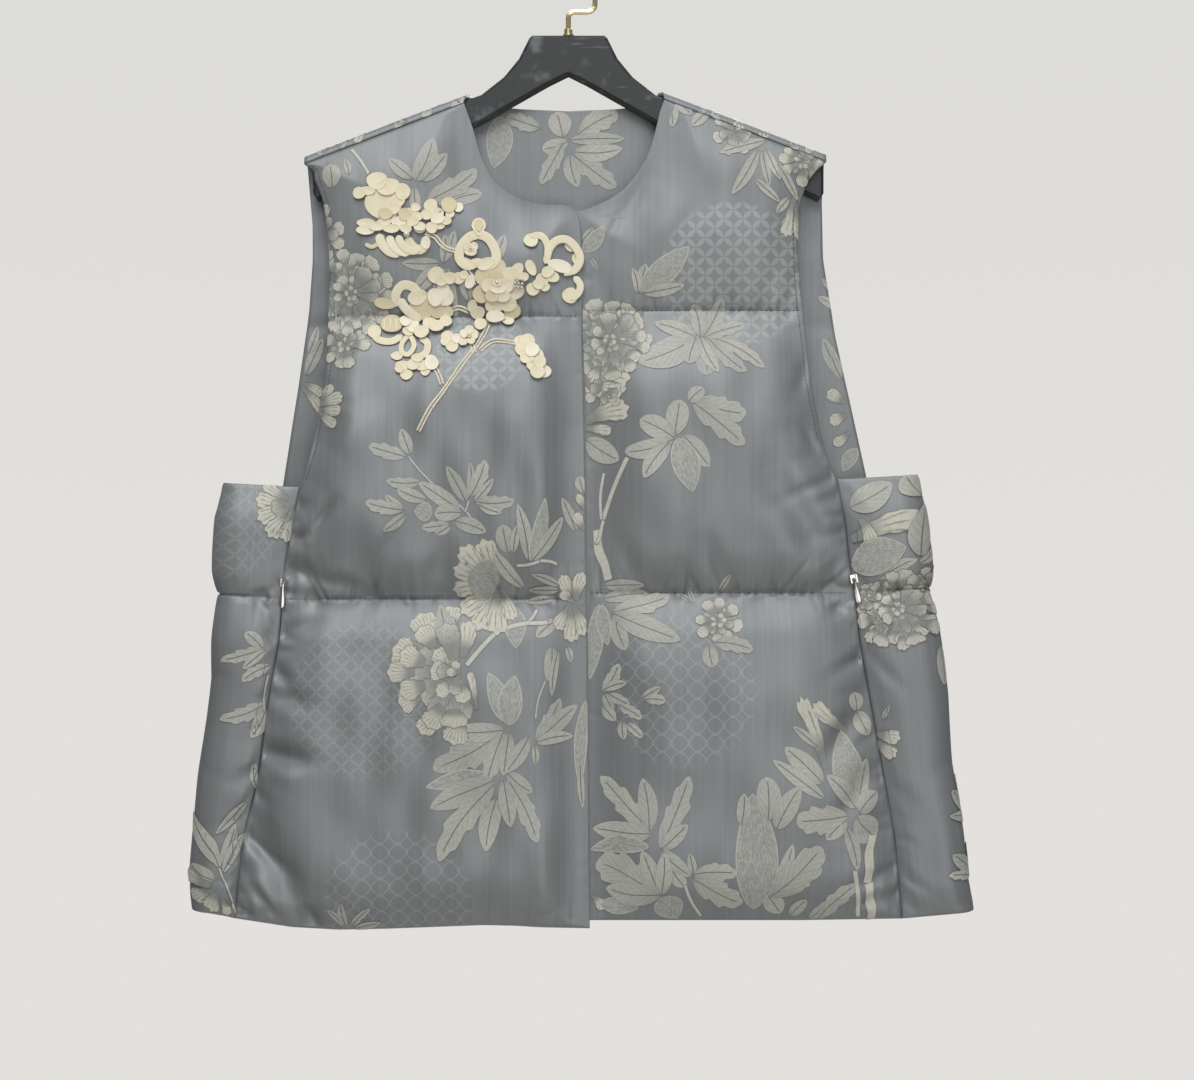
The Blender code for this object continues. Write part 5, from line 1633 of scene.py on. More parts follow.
@dataclass
class Spray:
    """The cut-petal spray on the left front, layer over layer, with its couched cords."""

    lay: Callable
    thickness: float = 0.7
    layer_rise: float = 0.5
    rings: tuple = (0.45, 0.8, 0.95, 1.0)
    segments: int = 26

    def bed(self, x: np.ndarray, z: np.ndarray, layer: float) -> np.ndarray:
        """Depth of a stiff piece's flat back: a plane through the cloth, clear by its layer.

        Args:
            x, z: points of the piece.
            layer: how many layers it lies up.

        Returns:
            The depth at each point.
        """
        y = self.lay(x, z, 0.0)[0][..., 1].ravel()
        matrix = np.stack([np.ones(x.size), x.ravel(), z.ravel()], 1)
        plane = np.linalg.lstsq(matrix, y, rcond=None)[0]
        proud = float(np.max(matrix @ plane - y))
        return plane[0] + plane[1] * x + plane[2] * z - min(proud, 1.6) - self.layer_rise * layer

    def plate(self, row: list[float], order: int) -> tuple[np.ndarray, list, np.ndarray]:
        """One oval or drop: rings about its middle, slightly cupped, over a flat back.

        Args:
            row: x, z, width, height, turn, layer and tone.
            order: its place among its neighbours, which keeps faces apart.

        Returns:
            Points, faces and how near the rim each point is.
        """
        x, z, width, height, turn, layer, _ = row
        angle = np.linspace(0, 2 * np.pi, self.segments, endpoint=False)
        drop = 0.34 if abs(turn) == 180 else 0.0
        reach = 1.0 - drop * np.cos(angle / 2) ** 6 + 0.035 * np.sin(3 * angle + order)
        local_x = np.sin(angle) * reach * width / 2 * (1 - drop * np.clip(np.cos(angle), 0, 1))
        local_z = -np.cos(angle) * height / 2 * (reach if not drop else 1.0)
        spin = math.radians(0 if drop else turn)
        out_x = local_x * math.cos(spin) - local_z * math.sin(spin)
        out_z = local_x * math.sin(spin) + local_z * math.cos(spin)
        radii = np.array([0.0, *self.rings])[:, None]
        px, pz = x + radii * out_x, z + radii * out_z
        back = self.bed(px[-1], pz[-1], layer + 0.11 * (order % 5))
        cup = 0.25 - 0.45 * radii ** 2 + 0.35 * (radii > 0.99)
        plane = back.mean() + radii * (back - back.mean())
        top = np.stack([px, plane - self.thickness + cup * 0.8, pz], -1)
        low = np.stack([px[-1], back, pz[-1]], -1)
        points = np.concatenate([top[0, :1], top[1:].reshape(-1, 3), low, low.mean(0)[None]])
        n, foot = self.segments, 1 + len(self.rings) * self.segments
        faces = [*fan_faces(0, 1, n), *ring_faces(len(radii), n, 1),
                 *(face[::-1] for face in fan_faces(len(points) - 1, foot, n))]
        return points, faces, np.concatenate([[0.0], np.repeat(self.rings, n), np.ones(n + 1)])

    def band(self, row: list[float], _order: int) -> tuple[np.ndarray, np.ndarray, np.ndarray]:
        """One curved strip along a path, round at its ends, over a flat back."""
        width, layer, _ = row[:3]
        knots = np.array(row[3:]).reshape(-1, 2)
        path = smooth_curve(knots, np.linspace(0, len(knots) - 1, 12 * len(knots)))
        tangent = unit_tangents(path)
        share = np.linspace(0, 1, len(path))
        taper = np.clip(np.minimum(share, 1 - share) * 9, 0.02, 1) ** 0.5
        if np.hypot(*(knots[0] - knots[-1])) < 0.5:
            taper = np.ones(len(path))
        across = np.linspace(-1, 1, 7)
        offset = (taper * width / 2)[:, None] * across
        px = path[:, :1] - tangent[:, 1:] * offset
        pz = path[:, 1:] + tangent[:, :1] * offset
        back = self.bed(px, pz, layer)
        faces = [np.stack([px, y, pz], -1).reshape(-1, 3)
                 for y in (back - self.thickness + 0.22 * across ** 4, back)]
        return (np.concatenate(faces), wall_faces(*px.shape)[:, ::-1],
                np.tile(np.abs(across) ** 3, 2 * len(path)))

    def build(self, node: str, plates: str, bands: str,
              material: bpy.types.Material) -> bpy.types.Object:
        """Make one cluster, which stands for its solid.

        Args:
            node: the solid.
            plates, bands: tables of its pieces.
            material: the cut cloth.

        Returns:
            The cluster.
        """
        pile = Pile()
        for text, maker, tone in ((bands, self.band, 2), (plates, self.plate, 6)):
            for order, row in enumerate(read_rows(text)):
                points, faces, rim = maker(row, order)
                pile.add(points, faces, rim=rim, tone=row[tone])
        piece = pile.piece(f"cut_{node}", material)
        dress(piece, "petal", node)
        return piece

    def cords(self, node: str, paths: str, material: bpy.types.Material,
              radius: float = 0.85, gap: float = 2.1) -> bpy.types.Object:
        """Pairs of twisted cords along paths: a tube whose radius swells with two plies."""
        pile, around = Pile(), np.linspace(0, 2 * np.pi, 10, endpoint=False)
        for row in read_rows(paths):
            path = np.array(row).reshape(-1, 2)
            length = float(np.hypot(*np.diff(path, axis=0).T).sum())
            steps = max(12, int(length / 0.7))
            curve = smooth_curve(path, np.linspace(0, len(path) - 1, steps))
            tangent = unit_tangents(curve)
            run = np.linspace(0, length, steps)
            foot, n = (steps - 1) * len(around), len(around)
            caps = [list(range(n))[::-1], list(range(foot, foot + n))]
            for side in (-0.5, 0.5):
                wander = side * gap * (1.0 + 0.12 * np.sin(run / 6.0 + side))
                cx = curve[:, 0] - tangent[:, 1] * wander
                cz = curve[:, 1] + tangent[:, 0] * wander
                ply = np.abs(np.sin(around[None, :] + run[:, None] * 2.1))
                size = radius * (0.8 + 0.25 * ply) * np.clip(
                    np.minimum(run, length - run) / 0.8 + 0.25, 0.25, 1.0)[:, None]
                px = cx[:, None] - tangent[:, 1:] * size * np.cos(around)
                pz = cz[:, None] + tangent[:, :1] * size * np.cos(around)
                base = self.lay(cx, cz, radius * 0.8)[0][:, 1]
                py = base[:, None] - size * np.sin(around)
                # The dip between the plies is marked for the cord's painted shade.
                pile.add(np.stack([px, py, pz], -1).reshape(-1, 3), [*ring_faces(steps, n), *caps],
                         groove=(1.0 - ply).ravel())
        piece = pile.piece(f"cord_{node}", material, True)
        dress(piece, "cord", node)
        return piece


@dataclass(frozen=True)
class SewingThread:
    """Polyester sewing thread, a shade darker than the satin."""

    name: str = "polyester_thread_grey"

    def build(self) -> bpy.types.Material:
        """Make the thread."""
        return new_material(self.name, Base_Color="#5c6062", Roughness=0.6)[0]


@dataclass
class Stitching:
    """A running stitch: short raised dashes along lines drawn on a panel."""

    pitch: float = 3.4
    dash: float = 2.3
    half: float = 0.3
    height: float = 0.35

    def build(self, name: str, lay: Callable, lines: list[np.ndarray],
              material: bpy.types.Material) -> bpy.types.Object:
        """Sew the lines.

        Args:
            name: the piece's name.
            lay: the panel's own laying.
            lines: (n, 2) flat points of each line.
            material: the thread.

        Returns:
            All the dashes as one piece, each a small closed bar.
        """
        bars = []
        for line in lines:
            run = np.concatenate([[0.0], np.cumsum(np.hypot(*np.diff(line, axis=0).T))])
            middle = np.arange(self.pitch, run[-1] - self.pitch, self.pitch)
            ends = [np.stack([np.interp(middle + way * self.dash / 2, run, line[:, k])
                              for k in (0, 1)], 1) for way in (-1, 1)]
            along = (ends[1] - ends[0]) / self.dash
            aside = np.stack([-along[:, 1], along[:, 0]], 1) * self.half
            flat = np.stack([ends[0] - aside, ends[1] - aside, ends[1] + aside, ends[0] + aside], 1)
            low, inside = lay(flat[..., 0], flat[..., 1], 0.02)
            high = lay(flat[..., 0], flat[..., 1], self.height)[0]
            bars.append(np.concatenate([low, high], 1)[inside.all(1)])
        bars = np.concatenate(bars)
        box = np.array([[0, 3, 2, 1], [4, 5, 6, 7], [0, 1, 5, 4], [1, 2, 6, 5], [2, 3, 7, 6],
                        [3, 0, 4, 7]])
        faces = (box[None] + 8 * np.arange(len(bars))[:, None, None]).reshape(-1, 4)
        piece = new_piece(name, bars.reshape(-1, 3), faces, material, smooth=False)
        dress(piece, "silk")
        return piece


@dataclass
class Beads:
    """Glass and pearl beads sewn on the spray: round domes, and small square crystals."""

    lay: Callable
    rings: int = 6

    def build(self, rows: list[tuple], material: bpy.types.Material) -> bpy.types.Object:
        """Make the beads.

        Args:
            rows: x, z, width, lift and number of sides (4 for a crystal) of each.
            material: their finish.

        Returns:
            All the beads as one piece.
        """
        pile = Pile()
        for x, z, width, lift, sides in rows:
            turn = np.linspace(0, 2 * np.pi, sides, endpoint=False)
            tilt, tip_out = np.linspace(0.0, np.pi / 2, self.rings)[1:], 1.0
            if sides == 4:
                turn, tilt, tip_out = turn + 0.9, np.array([0.55, np.pi / 2]), 0.85
            radius = np.sin(tilt)[:, None] * width / 2
            base = self.lay(np.array([x]), np.array([z]), lift)[0][0, 1]
            px, pz = x + radius * np.cos(turn), z + radius * np.sin(turn)
            py = np.broadcast_to(base - np.cos(tilt)[:, None] * width / 2, px.shape)
            ring = np.stack([px, py, pz], -1).reshape(-1, 3)
            last = 1 + (len(tilt) - 1) * sides
            pile.add(np.vstack([[x, base - width / 2 * tip_out, z], ring]),
                     [*fan_faces(0, 1, sides), *ring_faces(len(tilt), sides, 1),
                      list(range(last, last + sides))])
        piece = pile.piece("beads", material)
        dress(piece, "silver")
        return piece


# Camera and light


@dataclass(frozen=True)
class Studio:
    """Straight-on camera at the photograph's framing, soft light from above, pale floor."""

    lens: float = 60.0
    sensor: float = 36.0
    cloth_y: float = -0.020
    floor_z: float = -2.1
    floor_half: float = 2.5

    def build(self) -> None:
        """Make camera, lamps, world and floor."""
        scene = bpy.context.scene
        data = bpy.data.cameras.new("camera")
        camera = bpy.data.objects.new("camera", data)
        data.lens, data.sensor_width, data.clip_start = self.lens, self.sensor, 0.05
        away = PHOTO_WIDTH * MM_PER_PIXEL * MM * self.lens / self.sensor
        camera.location = ((PHOTO_WIDTH / 2 - CENTRE_PIXEL_X) * MM_PER_PIXEL * MM,
                           self.cloth_y - away,
                           (TOP_EDGE_Z - PHOTO_HEIGHT / 2 * MM_PER_PIXEL) * MM)
        camera.rotation_euler = (math.pi / 2, 0.0, 0.0)
        scene.collection.objects.link(camera)
        scene.camera = camera
        scene.view_settings.view_transform = "Standard"
        self.lamp("key", (-0.22, -1.5, 1.40), (0.0, 0.0, -0.42), 1.7, 46.0)
        self.lamp("fill", (0.6, -2.0, -0.6), (0.0, 0.0, -0.45), 1.6, 15.0)
        self.lamp("back_key", (0.2, 1.2, 0.8), (0.0, 0.0, -0.42), 0.9, 26.0)
        self.world()
        half, low = self.floor_half / MM, self.floor_z / MM
        floor = new_piece("floor", np.array([(-half, -half, low), (half, -half, low),
                                             (half, half, low), (-half, half, low)]),
                          [[0, 1, 2, 3]],
                          new_material("pale_floor", Base_Color="#dddbd8", Roughness=0.9)[0],
                          smooth=False)

    @staticmethod
    def lamp(name: str, place: tuple, aim: tuple, size: float, power: float) -> None:
        """Add a square soft lamp at place, turned to aim."""
        data = bpy.data.lights.new(name, "AREA")
        data.size, data.energy, data.color = size, power, (1.0, 0.995, 0.99)
        item = bpy.data.objects.new(name, data)
        item.location = place
        x, y, z = (a - p for a, p in zip(aim, place))
        item.rotation_euler = (math.pi / 2 + math.atan2(z, math.hypot(x, y)), 0.0,
                               math.atan2(y, x) - math.pi / 2)
        bpy.context.scene.collection.objects.link(item)

    @staticmethod
    def world() -> None:
        """Pale backdrop, darker towards the top as a painted falloff of light; a softer light than it
        shows falls on the cloth, less from below.
        """
        world = bpy.data.worlds.new("studio")
        world.use_nodes = True
        shader = Shader(world.node_tree, world.node_tree.nodes["Background"])
        up = shader.split(shader.source("ShaderNodeTexCoord", "Generated"))[2]
        seen = shader.source("ShaderNodeLightPath", "Is Camera Ray")
        light = up.band(-0.5, 0.8).mix("#4b4947", "#f4f4f2")
        # Painted light: the backdrop the camera sees darkens towards the top of the view, as a
        # falloff of light on a wall.
        wall = up.band(0.28, -0.1).mix("#dddcd8", "#e3e0dd")
        shader.link(Color=seen.mix(light, wall), Strength=seen * 0.62 + 0.38)
        bpy.context.scene.world = world


BACK_PEONIES = [Peony(-60, -290, 40, 51), Peony(120, -200, 30, 52), Peony(-150, -560, 36, 53),
                Peony(40, -640, 40, 54)]
LEFT_FOLDS = read_table(Fold, """
    -208 -436 -186 -428 5 5; -186 -428 -168 -404 5 5; -233.8 -641.6 -193 -700 13 11;
    -193 -700 -186 -722 9 8; -233.8 -685 -213 -714 5 4; -221 -549 -186 -556 8 6;
    -227 -590 -186 -596 9 7; -220 -528 -200 -546 6 4; -192 -379 -163 -340 11 5;
    -176 -300 -150 -280 8 2.5; -150 -462 -120 -425 9 3; -100 -464 -84 -430 9 2.5;
    -205 -455 -150 -470 7 3.5""")
RIGHT_FOLDS = read_table(Fold, """
    150 -384 190 -450 14 6.5; 214 -560 184 -600 9 4; 43.7 -177.4 26 -222 4 1.1;
    60 -158.1 40 -200 5 1.2; 212.4 -475.1 192 -492 5 3; 40 -430 52 -470 10 3; 96 -425 112 -468 11 3;
    172 -352 186 -372 4 2.5; 178 -300 168 -330 6 2; 226 -600 196 -640 9 4""")


# Tables of woven figures: base x and z, tip x and z, width, and the letter of the Sort
LEFT_FIGURES = """
-113 -169 -100 -136 16 l; -108 -169 -90 -147 12 l; -115 -167 -133 -152 11 l;
-105 -184 -68 -158 18 b; -92 -186 -64 -176 13 r; -114 -173 -112 -194 9 l; -175 -173 -177 -155 15 r;
-161 -144 -147 -164 3 s; -162 -164 -166 -151 6 l; -95 -229 -123 -229 10 l; -95 -230 -115 -251 12 l;
-93 -232 -98 -257 12 l; -90 -232 -83 -269 12 l; -92 -228 -84 -205 9 l; -53 -228 -47 -208 10 l;
-92 -229 -91 -208 9 l; -73 -257 -79 -235 10 l; -185 -334 -164 -329 12 p; -185 -336 -165 -340 11 p;
-185 -338 -169 -351 10 p; -184 -331 -173 -320 10 p; -118 -374 -144 -366 13 b;
-115 -372 -122 -353 10 l; -116 -374 -92 -399 2 s; -92 -399 -69 -420 2 s; -107 -392 -132 -391 10 b;
-103 -405 -124 -397 10 r; -79 -412 -109 -392 13 l; -78 -414 -98 -415 13 r; -99 -414 -112 -413 14 t;
-119 -412 -146 -406 12 b; -118 -415 -134 -427 8 l; -120 -411 -132 -401 7 l;
-86 -422 -107 -425 10 b; -86 -423 -97 -430 7 l; -75 -406 -89 -380 10 l; -73 -405 -72 -377 7 l;
-72 -403 -61 -376 13 b; -69 -406 -55 -389 7 l; -69 -406 -40 -405 13 b; -66 -408 -49 -414 7 l;
-83 -420 -60 -428 12 l; -73 -405 -76 -414 2 s; -30 -448 -38 -407 10 l; -29 -448 -18 -403 11 t;
-28 -448 -4 -417 11 l; -45 -443 -49 -422 13 r; -41 -443 -38 -422 7 l; -52 -465 -63 -433 19 p;
-52 -465 -79 -439 18 p; -53 -467 -84 -454 16 p; -53 -468 -85 -471 16 p; -53 -470 -79 -489 18 p;
-51 -470 -67 -502 19 p; -50 -470 -53 -506 18 p; -49 -470 -41 -495 13 p; -51 -465 -75 -462 34 t;
-33 -469 -56 -440 11 l; -6 -468 -28 -458 7 l; -6 -471 -30 -471 7 l; -9 -477 -32 -480 7 l;
-41 -483 -39 -516 16 t; -38 -452 -22 -448 3 s; -22 -448 -8 -452 3 s; -30 -497 -52 -503 4 s;
-52 -503 -75 -528 4 s; -30 -496 -23 -486 3 s; -30 -497 -15 -496 4 s; 4 -479 -5 -460 12 p;
6 -479 11 -458 13 p; 4 -480 -6 -473 10 p; 1 -483 -9 -501 13 p; 3 -483 2 -510 15 p;
4 -483 12 -505 12 p; -9 -494 -25 -508 11 l; -13 -514 -16 -539 12 l; -8 -516 -13 -550 7 l;
-1 -513 2 -525 6 l; -18 -539 -25 -567 2 s; 6 -428 -5 -403 9 l; 12 -400 8 -387 9 r;
12 -412 7 -400 8 p; 12 -427 5 -414 10 p; -80 -520 -95 -482 14 l;
-78 -522 -73 -495 15 p; -67 -559 -73 -531 7 p; -47 -568 -59 -533 15 t; -44 -571 -40 -535 18 t;
-48 -574 -99 -602 25 b; -48 -575 -60 -611 16 b; -44 -576 -48 -607 12 l; -48 -574 -86 -575 15 l;
-25 -582 -6 -551 13 b; -24 -582 7 -556 14 l; -25 -583 4 -579 10 l; -26 -585 -25 -599 6 l;
-30 -579 -47 -605 12 l; -55 -610 -101 -630 19 l; -55 -613 -95 -669 21 b; -53 -623 -61 -662 16 l;
-48 -610 -43 -644 13 l; -44 -611 -24 -655 16 b; -45 -605 -27 -619 13 l; -60 -605 -104 -615 13 t;
13 -553 9 -619 10 t; 9 -601 11 -633 6 l; -165 -720 -176 -704 6 l; -164 -720 -165 -699 7 l;
-160 -720 -145 -704 7 b; -158 -722 -138 -717 7 l
"""
RIGHT_FIGURES = """
77 -104 78 -127 11 l; 79 -106 92 -118 10 l; 104 -115 92 -127 10 l; 147 -137 112 -148 9 l;
141 -145 121 -179 10 l; 144 -145 149 -173 7 l; 147 -144 157 -168 7 l; 138 -167 157 -184 7 l;
155 -156 171 -182 7 l; 168 -179 161 -209 13 p; 169 -186 172 -211 9 p; 164 -180 154 -192 7 l;
11 -220 27 -201 12 t; 10 -212 19 -202 6 l; 16 -224 22 -234 4 l; 53 -251 58 -229 11 l;
54 -249 90 -217 19 t; 56 -251 87 -245 10 l; 52 -251 48 -232 7 l; 95 -285 53 -305 24 l;
95 -285 64 -273 13 l; 95 -286 89 -306 14 r; 98 -285 93 -259 14 b; 100 -285 115 -254 14 l;
101 -285 132 -275 13 b; 101 -286 102 -315 17 r; 104 -286 131 -312 14 b; 109 -286 144 -309 13 b;
98 -285 111 -313 10 l; 92 -334 130 -343 22 b; 92 -334 129 -365 19 b; 89 -334 100 -324 11 r;
79 -358 83 -332 17 r; 79 -360 54 -346 16 r; 78 -361 43 -370 14 r; 75 -363 57 -389 14 l;
81 -360 92 -399 20 t; 85 -358 104 -381 15 l; 45 -374 26 -420 4 s; 27 -385 25 -420 3 s;
21 -427 31 -464 9 w; 26 -420 21 -438 4 w; 13 -360 39 -376 18 l; 13 -346 46 -337 19 p;
13 -352 33 -354 10 p; 16 -310 47 -316 19 p; 13 -316 40 -328 18 p; 27 -468 57 -467 10 l;
26 -478 61 -474 11 l; 33 -488 76 -476 18 b; 34 -489 84 -510 18 l; 35 -489 44 -517 13 r;
23 -482 16 -538 13 t; 25 -482 30 -513 11 t; 26 -547 39 -526 12 b; 27 -545 45 -540 8 l;
27 -548 34 -561 9 l; 30 -548 47 -556 10 b; 26 -557 36 -568 10 l;
38 -556 56 -566 10 b; 56 -551 70 -543 7 l; 58 -552 73 -553 10 b; 41 -568 42 -582 8 l;
44 -569 56 -580 9 b; 107 -511 136 -517 14 b; 104 -513 107 -529 12 r; 112 -473 120 -459 5 l;
83 -475 91 -480 4 l; 89 -468 95 -484 4 l; 62 -647 24 -609 19 b; 61 -647 56 -609 15 l;
69 -660 90 -607 18 b; 70 -660 89 -642 12 l; 62 -649 18 -648 17 l; 61 -658 16 -664 13 t;
69 -693 21 -673 33 b; 69 -693 56 -661 14 l; 70 -693 72 -662 13 l; 69 -693 28 -692 19 l;
70 -661 91 -679 13 l; 78 -675 87 -687 10 r; 92 -678 124 -676 16 b; 92 -681 128 -701 23 b;
93 -678 90 -662 7 l; 87 -686 99 -713 3 s; 69 -695 81 -714 22 t; 18 -698 27 -708 10 p;
24 -704 53 -705 13 t; 137 -706 135 -619 31 t; 146 -639 145 -607 18 r; 127 -642 129 -619 11 l;
152 -645 169 -614 16 l; 149 -695 185 -658 27 b; 147 -694 157 -710 16 l; 149 -695 164 -655 11 l;
149 -695 185 -673 18 b; 164 -712 175 -697 11 l; 178 -715 201 -690 14 b; 185 -715 210 -684 16 b;
208 -675 215 -713 4 s; 202 -644 210 -675 10 l; 222 -651 218 -685 9 w; 218 -685 225 -715 9 w;
210 -631 199 -575 24 t; 212 -630 219 -595 13 l; 210 -631 188 -606 13 l; 212 -634 228 -620 15 l;
210 -637 225 -653 22 r; 204 -636 166 -639 24 b; 202 -639 188 -653 13 l; 188 -603 169 -551 13 p;
204 -576 178 -555 13 p; 182 -586 164 -571 7 l; 185 -612 158 -586 16 l; 186 -623 149 -595 11 l;
212 -561 222 -579 15 l; 212 -561 210 -547 13 r; 191 -561 212 -562 1 s
"""
SIDE_RIGHT_FIGURES = """
259 -405 249 -389 18 r; 209 -411 240 -395 22 l; 210 -434 257 -421 19 p; 210 -454 249 -442 27 t;
256 -449 259 -411 14 l; 230 -463 255 -451 11 l; 256 -454 268 -443 8 l; 271 -517 274 -546 11 l;
229 -578 246 -582 13 p; 229 -584 243 -595 12 p; 233 -568 238 -557 4 l; 294 -643 279 -624 10 l;
295 -640 283 -613 9 l; 295 -648 278 -642 8 l; 296 -686 281 -670 10 l; 297 -689 280 -685 9 b;
299 -680 292 -664 8 l; 216 -420 225 -438 12 p
"""
SIDE_LEFT_FIGURES = """
-224 -516 -253 -527 11 b; -226 -516 -238 -505 10 r; -224 -517 -240 -532 7 l;
-220 -527 -241 -541 10 b; -224 -556 -255 -571 13 b; -224 -560 -235 -582 11 l;
-222 -535 -225 -562 2 s; -232 -599 -231 -619 6 l; -238 -628 -260 -655 7 l;
-258 -679 -275 -640 10 l; -257 -679 -246 -645 9 l; -255 -682 -240 -651 8 l;
-258 -679 -246 -713 2 s; -263 -693 -280 -686 13 p; -263 -696 -275 -705 13 p;
-260 -698 -265 -713 13 p; -256 -701 -252 -714 9 p; -261 -689 -275 -679 12 r;
-207 -405 -226 -396 15 p; -207 -408 -231 -406 15 p; -207 -411 -229 -421 15 p;
-206 -412 -221 -433 15 p; -204 -412 -209 -436 13 p; -206 -409 -219 -414 16 q
"""
NECK_FIGURES = """
0 -134 -20 -141 12 r; -4 -135 -21 -167 14 b; 1 -144 7 -169 13 l; 3 -144 36 -170 18 b;
4 -142 41 -141 14 l; 1 -133 43 -134 10 l; -4 -131 -9 -112 18 r; 7 -129 37 -114 21 b;
-21 -125 -47 -118 15 b; -50 -118 -56 -157 20 t; -198 -310 -185 -282 10 l; -201 -316 -185 -325 10 p;
-201 -319 -185 -338 10 p; -196 -294 -189 -273 7 l; 206 -310 192 -282 11 l; 206 -313 198 -295 7 l;
209 -331 195 -322 12 p; 210 -340 197 -346 12 p; 212 -353 200 -363 10 p; 218 -365 207 -383 11 t;
206 -257 188 -246 10 l; 201 -242 191 -229 7 l
"""
# Beyond the fold, on the back half of each side panel; x as on the right one
SIDE_BACK_FIGURES = """
318 -455 340 -440 13 l; 318 -457 342 -462 14 b; 316 -458 330 -478 13 l; 314 -452 310 -430 11 l;
322 -545 346 -530 14 b; 322 -547 348 -555 13 l; 320 -549 330 -572 14 b; 318 -546 300 -560 11 l;
320 -540 312 -520 10 l; 326 -640 350 -622 15 b; 326 -642 352 -648 13 l; 324 -645 334 -670 15 b;
322 -641 306 -652 12 l; 322 -560 325 -625 2 s
"""
# Over the shoulders the flat z runs from the hanger's back edge at -121 to the seam at -111
SHOULDER_FIGURES = """
92 -121 104 -113 12 l; 116 -121 106 -112 11 l; 120 -121 132 -112 14 p; 140 -120 150 -112 13 p;
160 -121 172 -112 12 b; 186 -121 176 -112 10 l; -98 -121 -110 -112 10 l; -120 -112 -134 -121 12 b;
-150 -121 -160 -112 12 p; -175 -121 -165 -112 10 l; -188 -113 -178 -121 9 l
"""
LEFT_PEONIES = [Peony(-80, -533, 51, 24, 92.0, 195.0), Peony(-161, -251, 33, 21),
                Peony(-185, -206, 22, 22), Peony(-165, -290, 19, 23)]
RIGHT_PEONIES = [Peony(31, -286, 33, 11), Peony(124, -131, 19, 12), Peony(174, -153, 18, 13),
                 Peony(111, -495, 18, 14), Peony(28, -322, 18, 15)]
SIDE_PEONIES = [Peony(244, -488, 31, 31), Peony(221, -479, 13, 32), Peony(263, -471, 16, 33)]

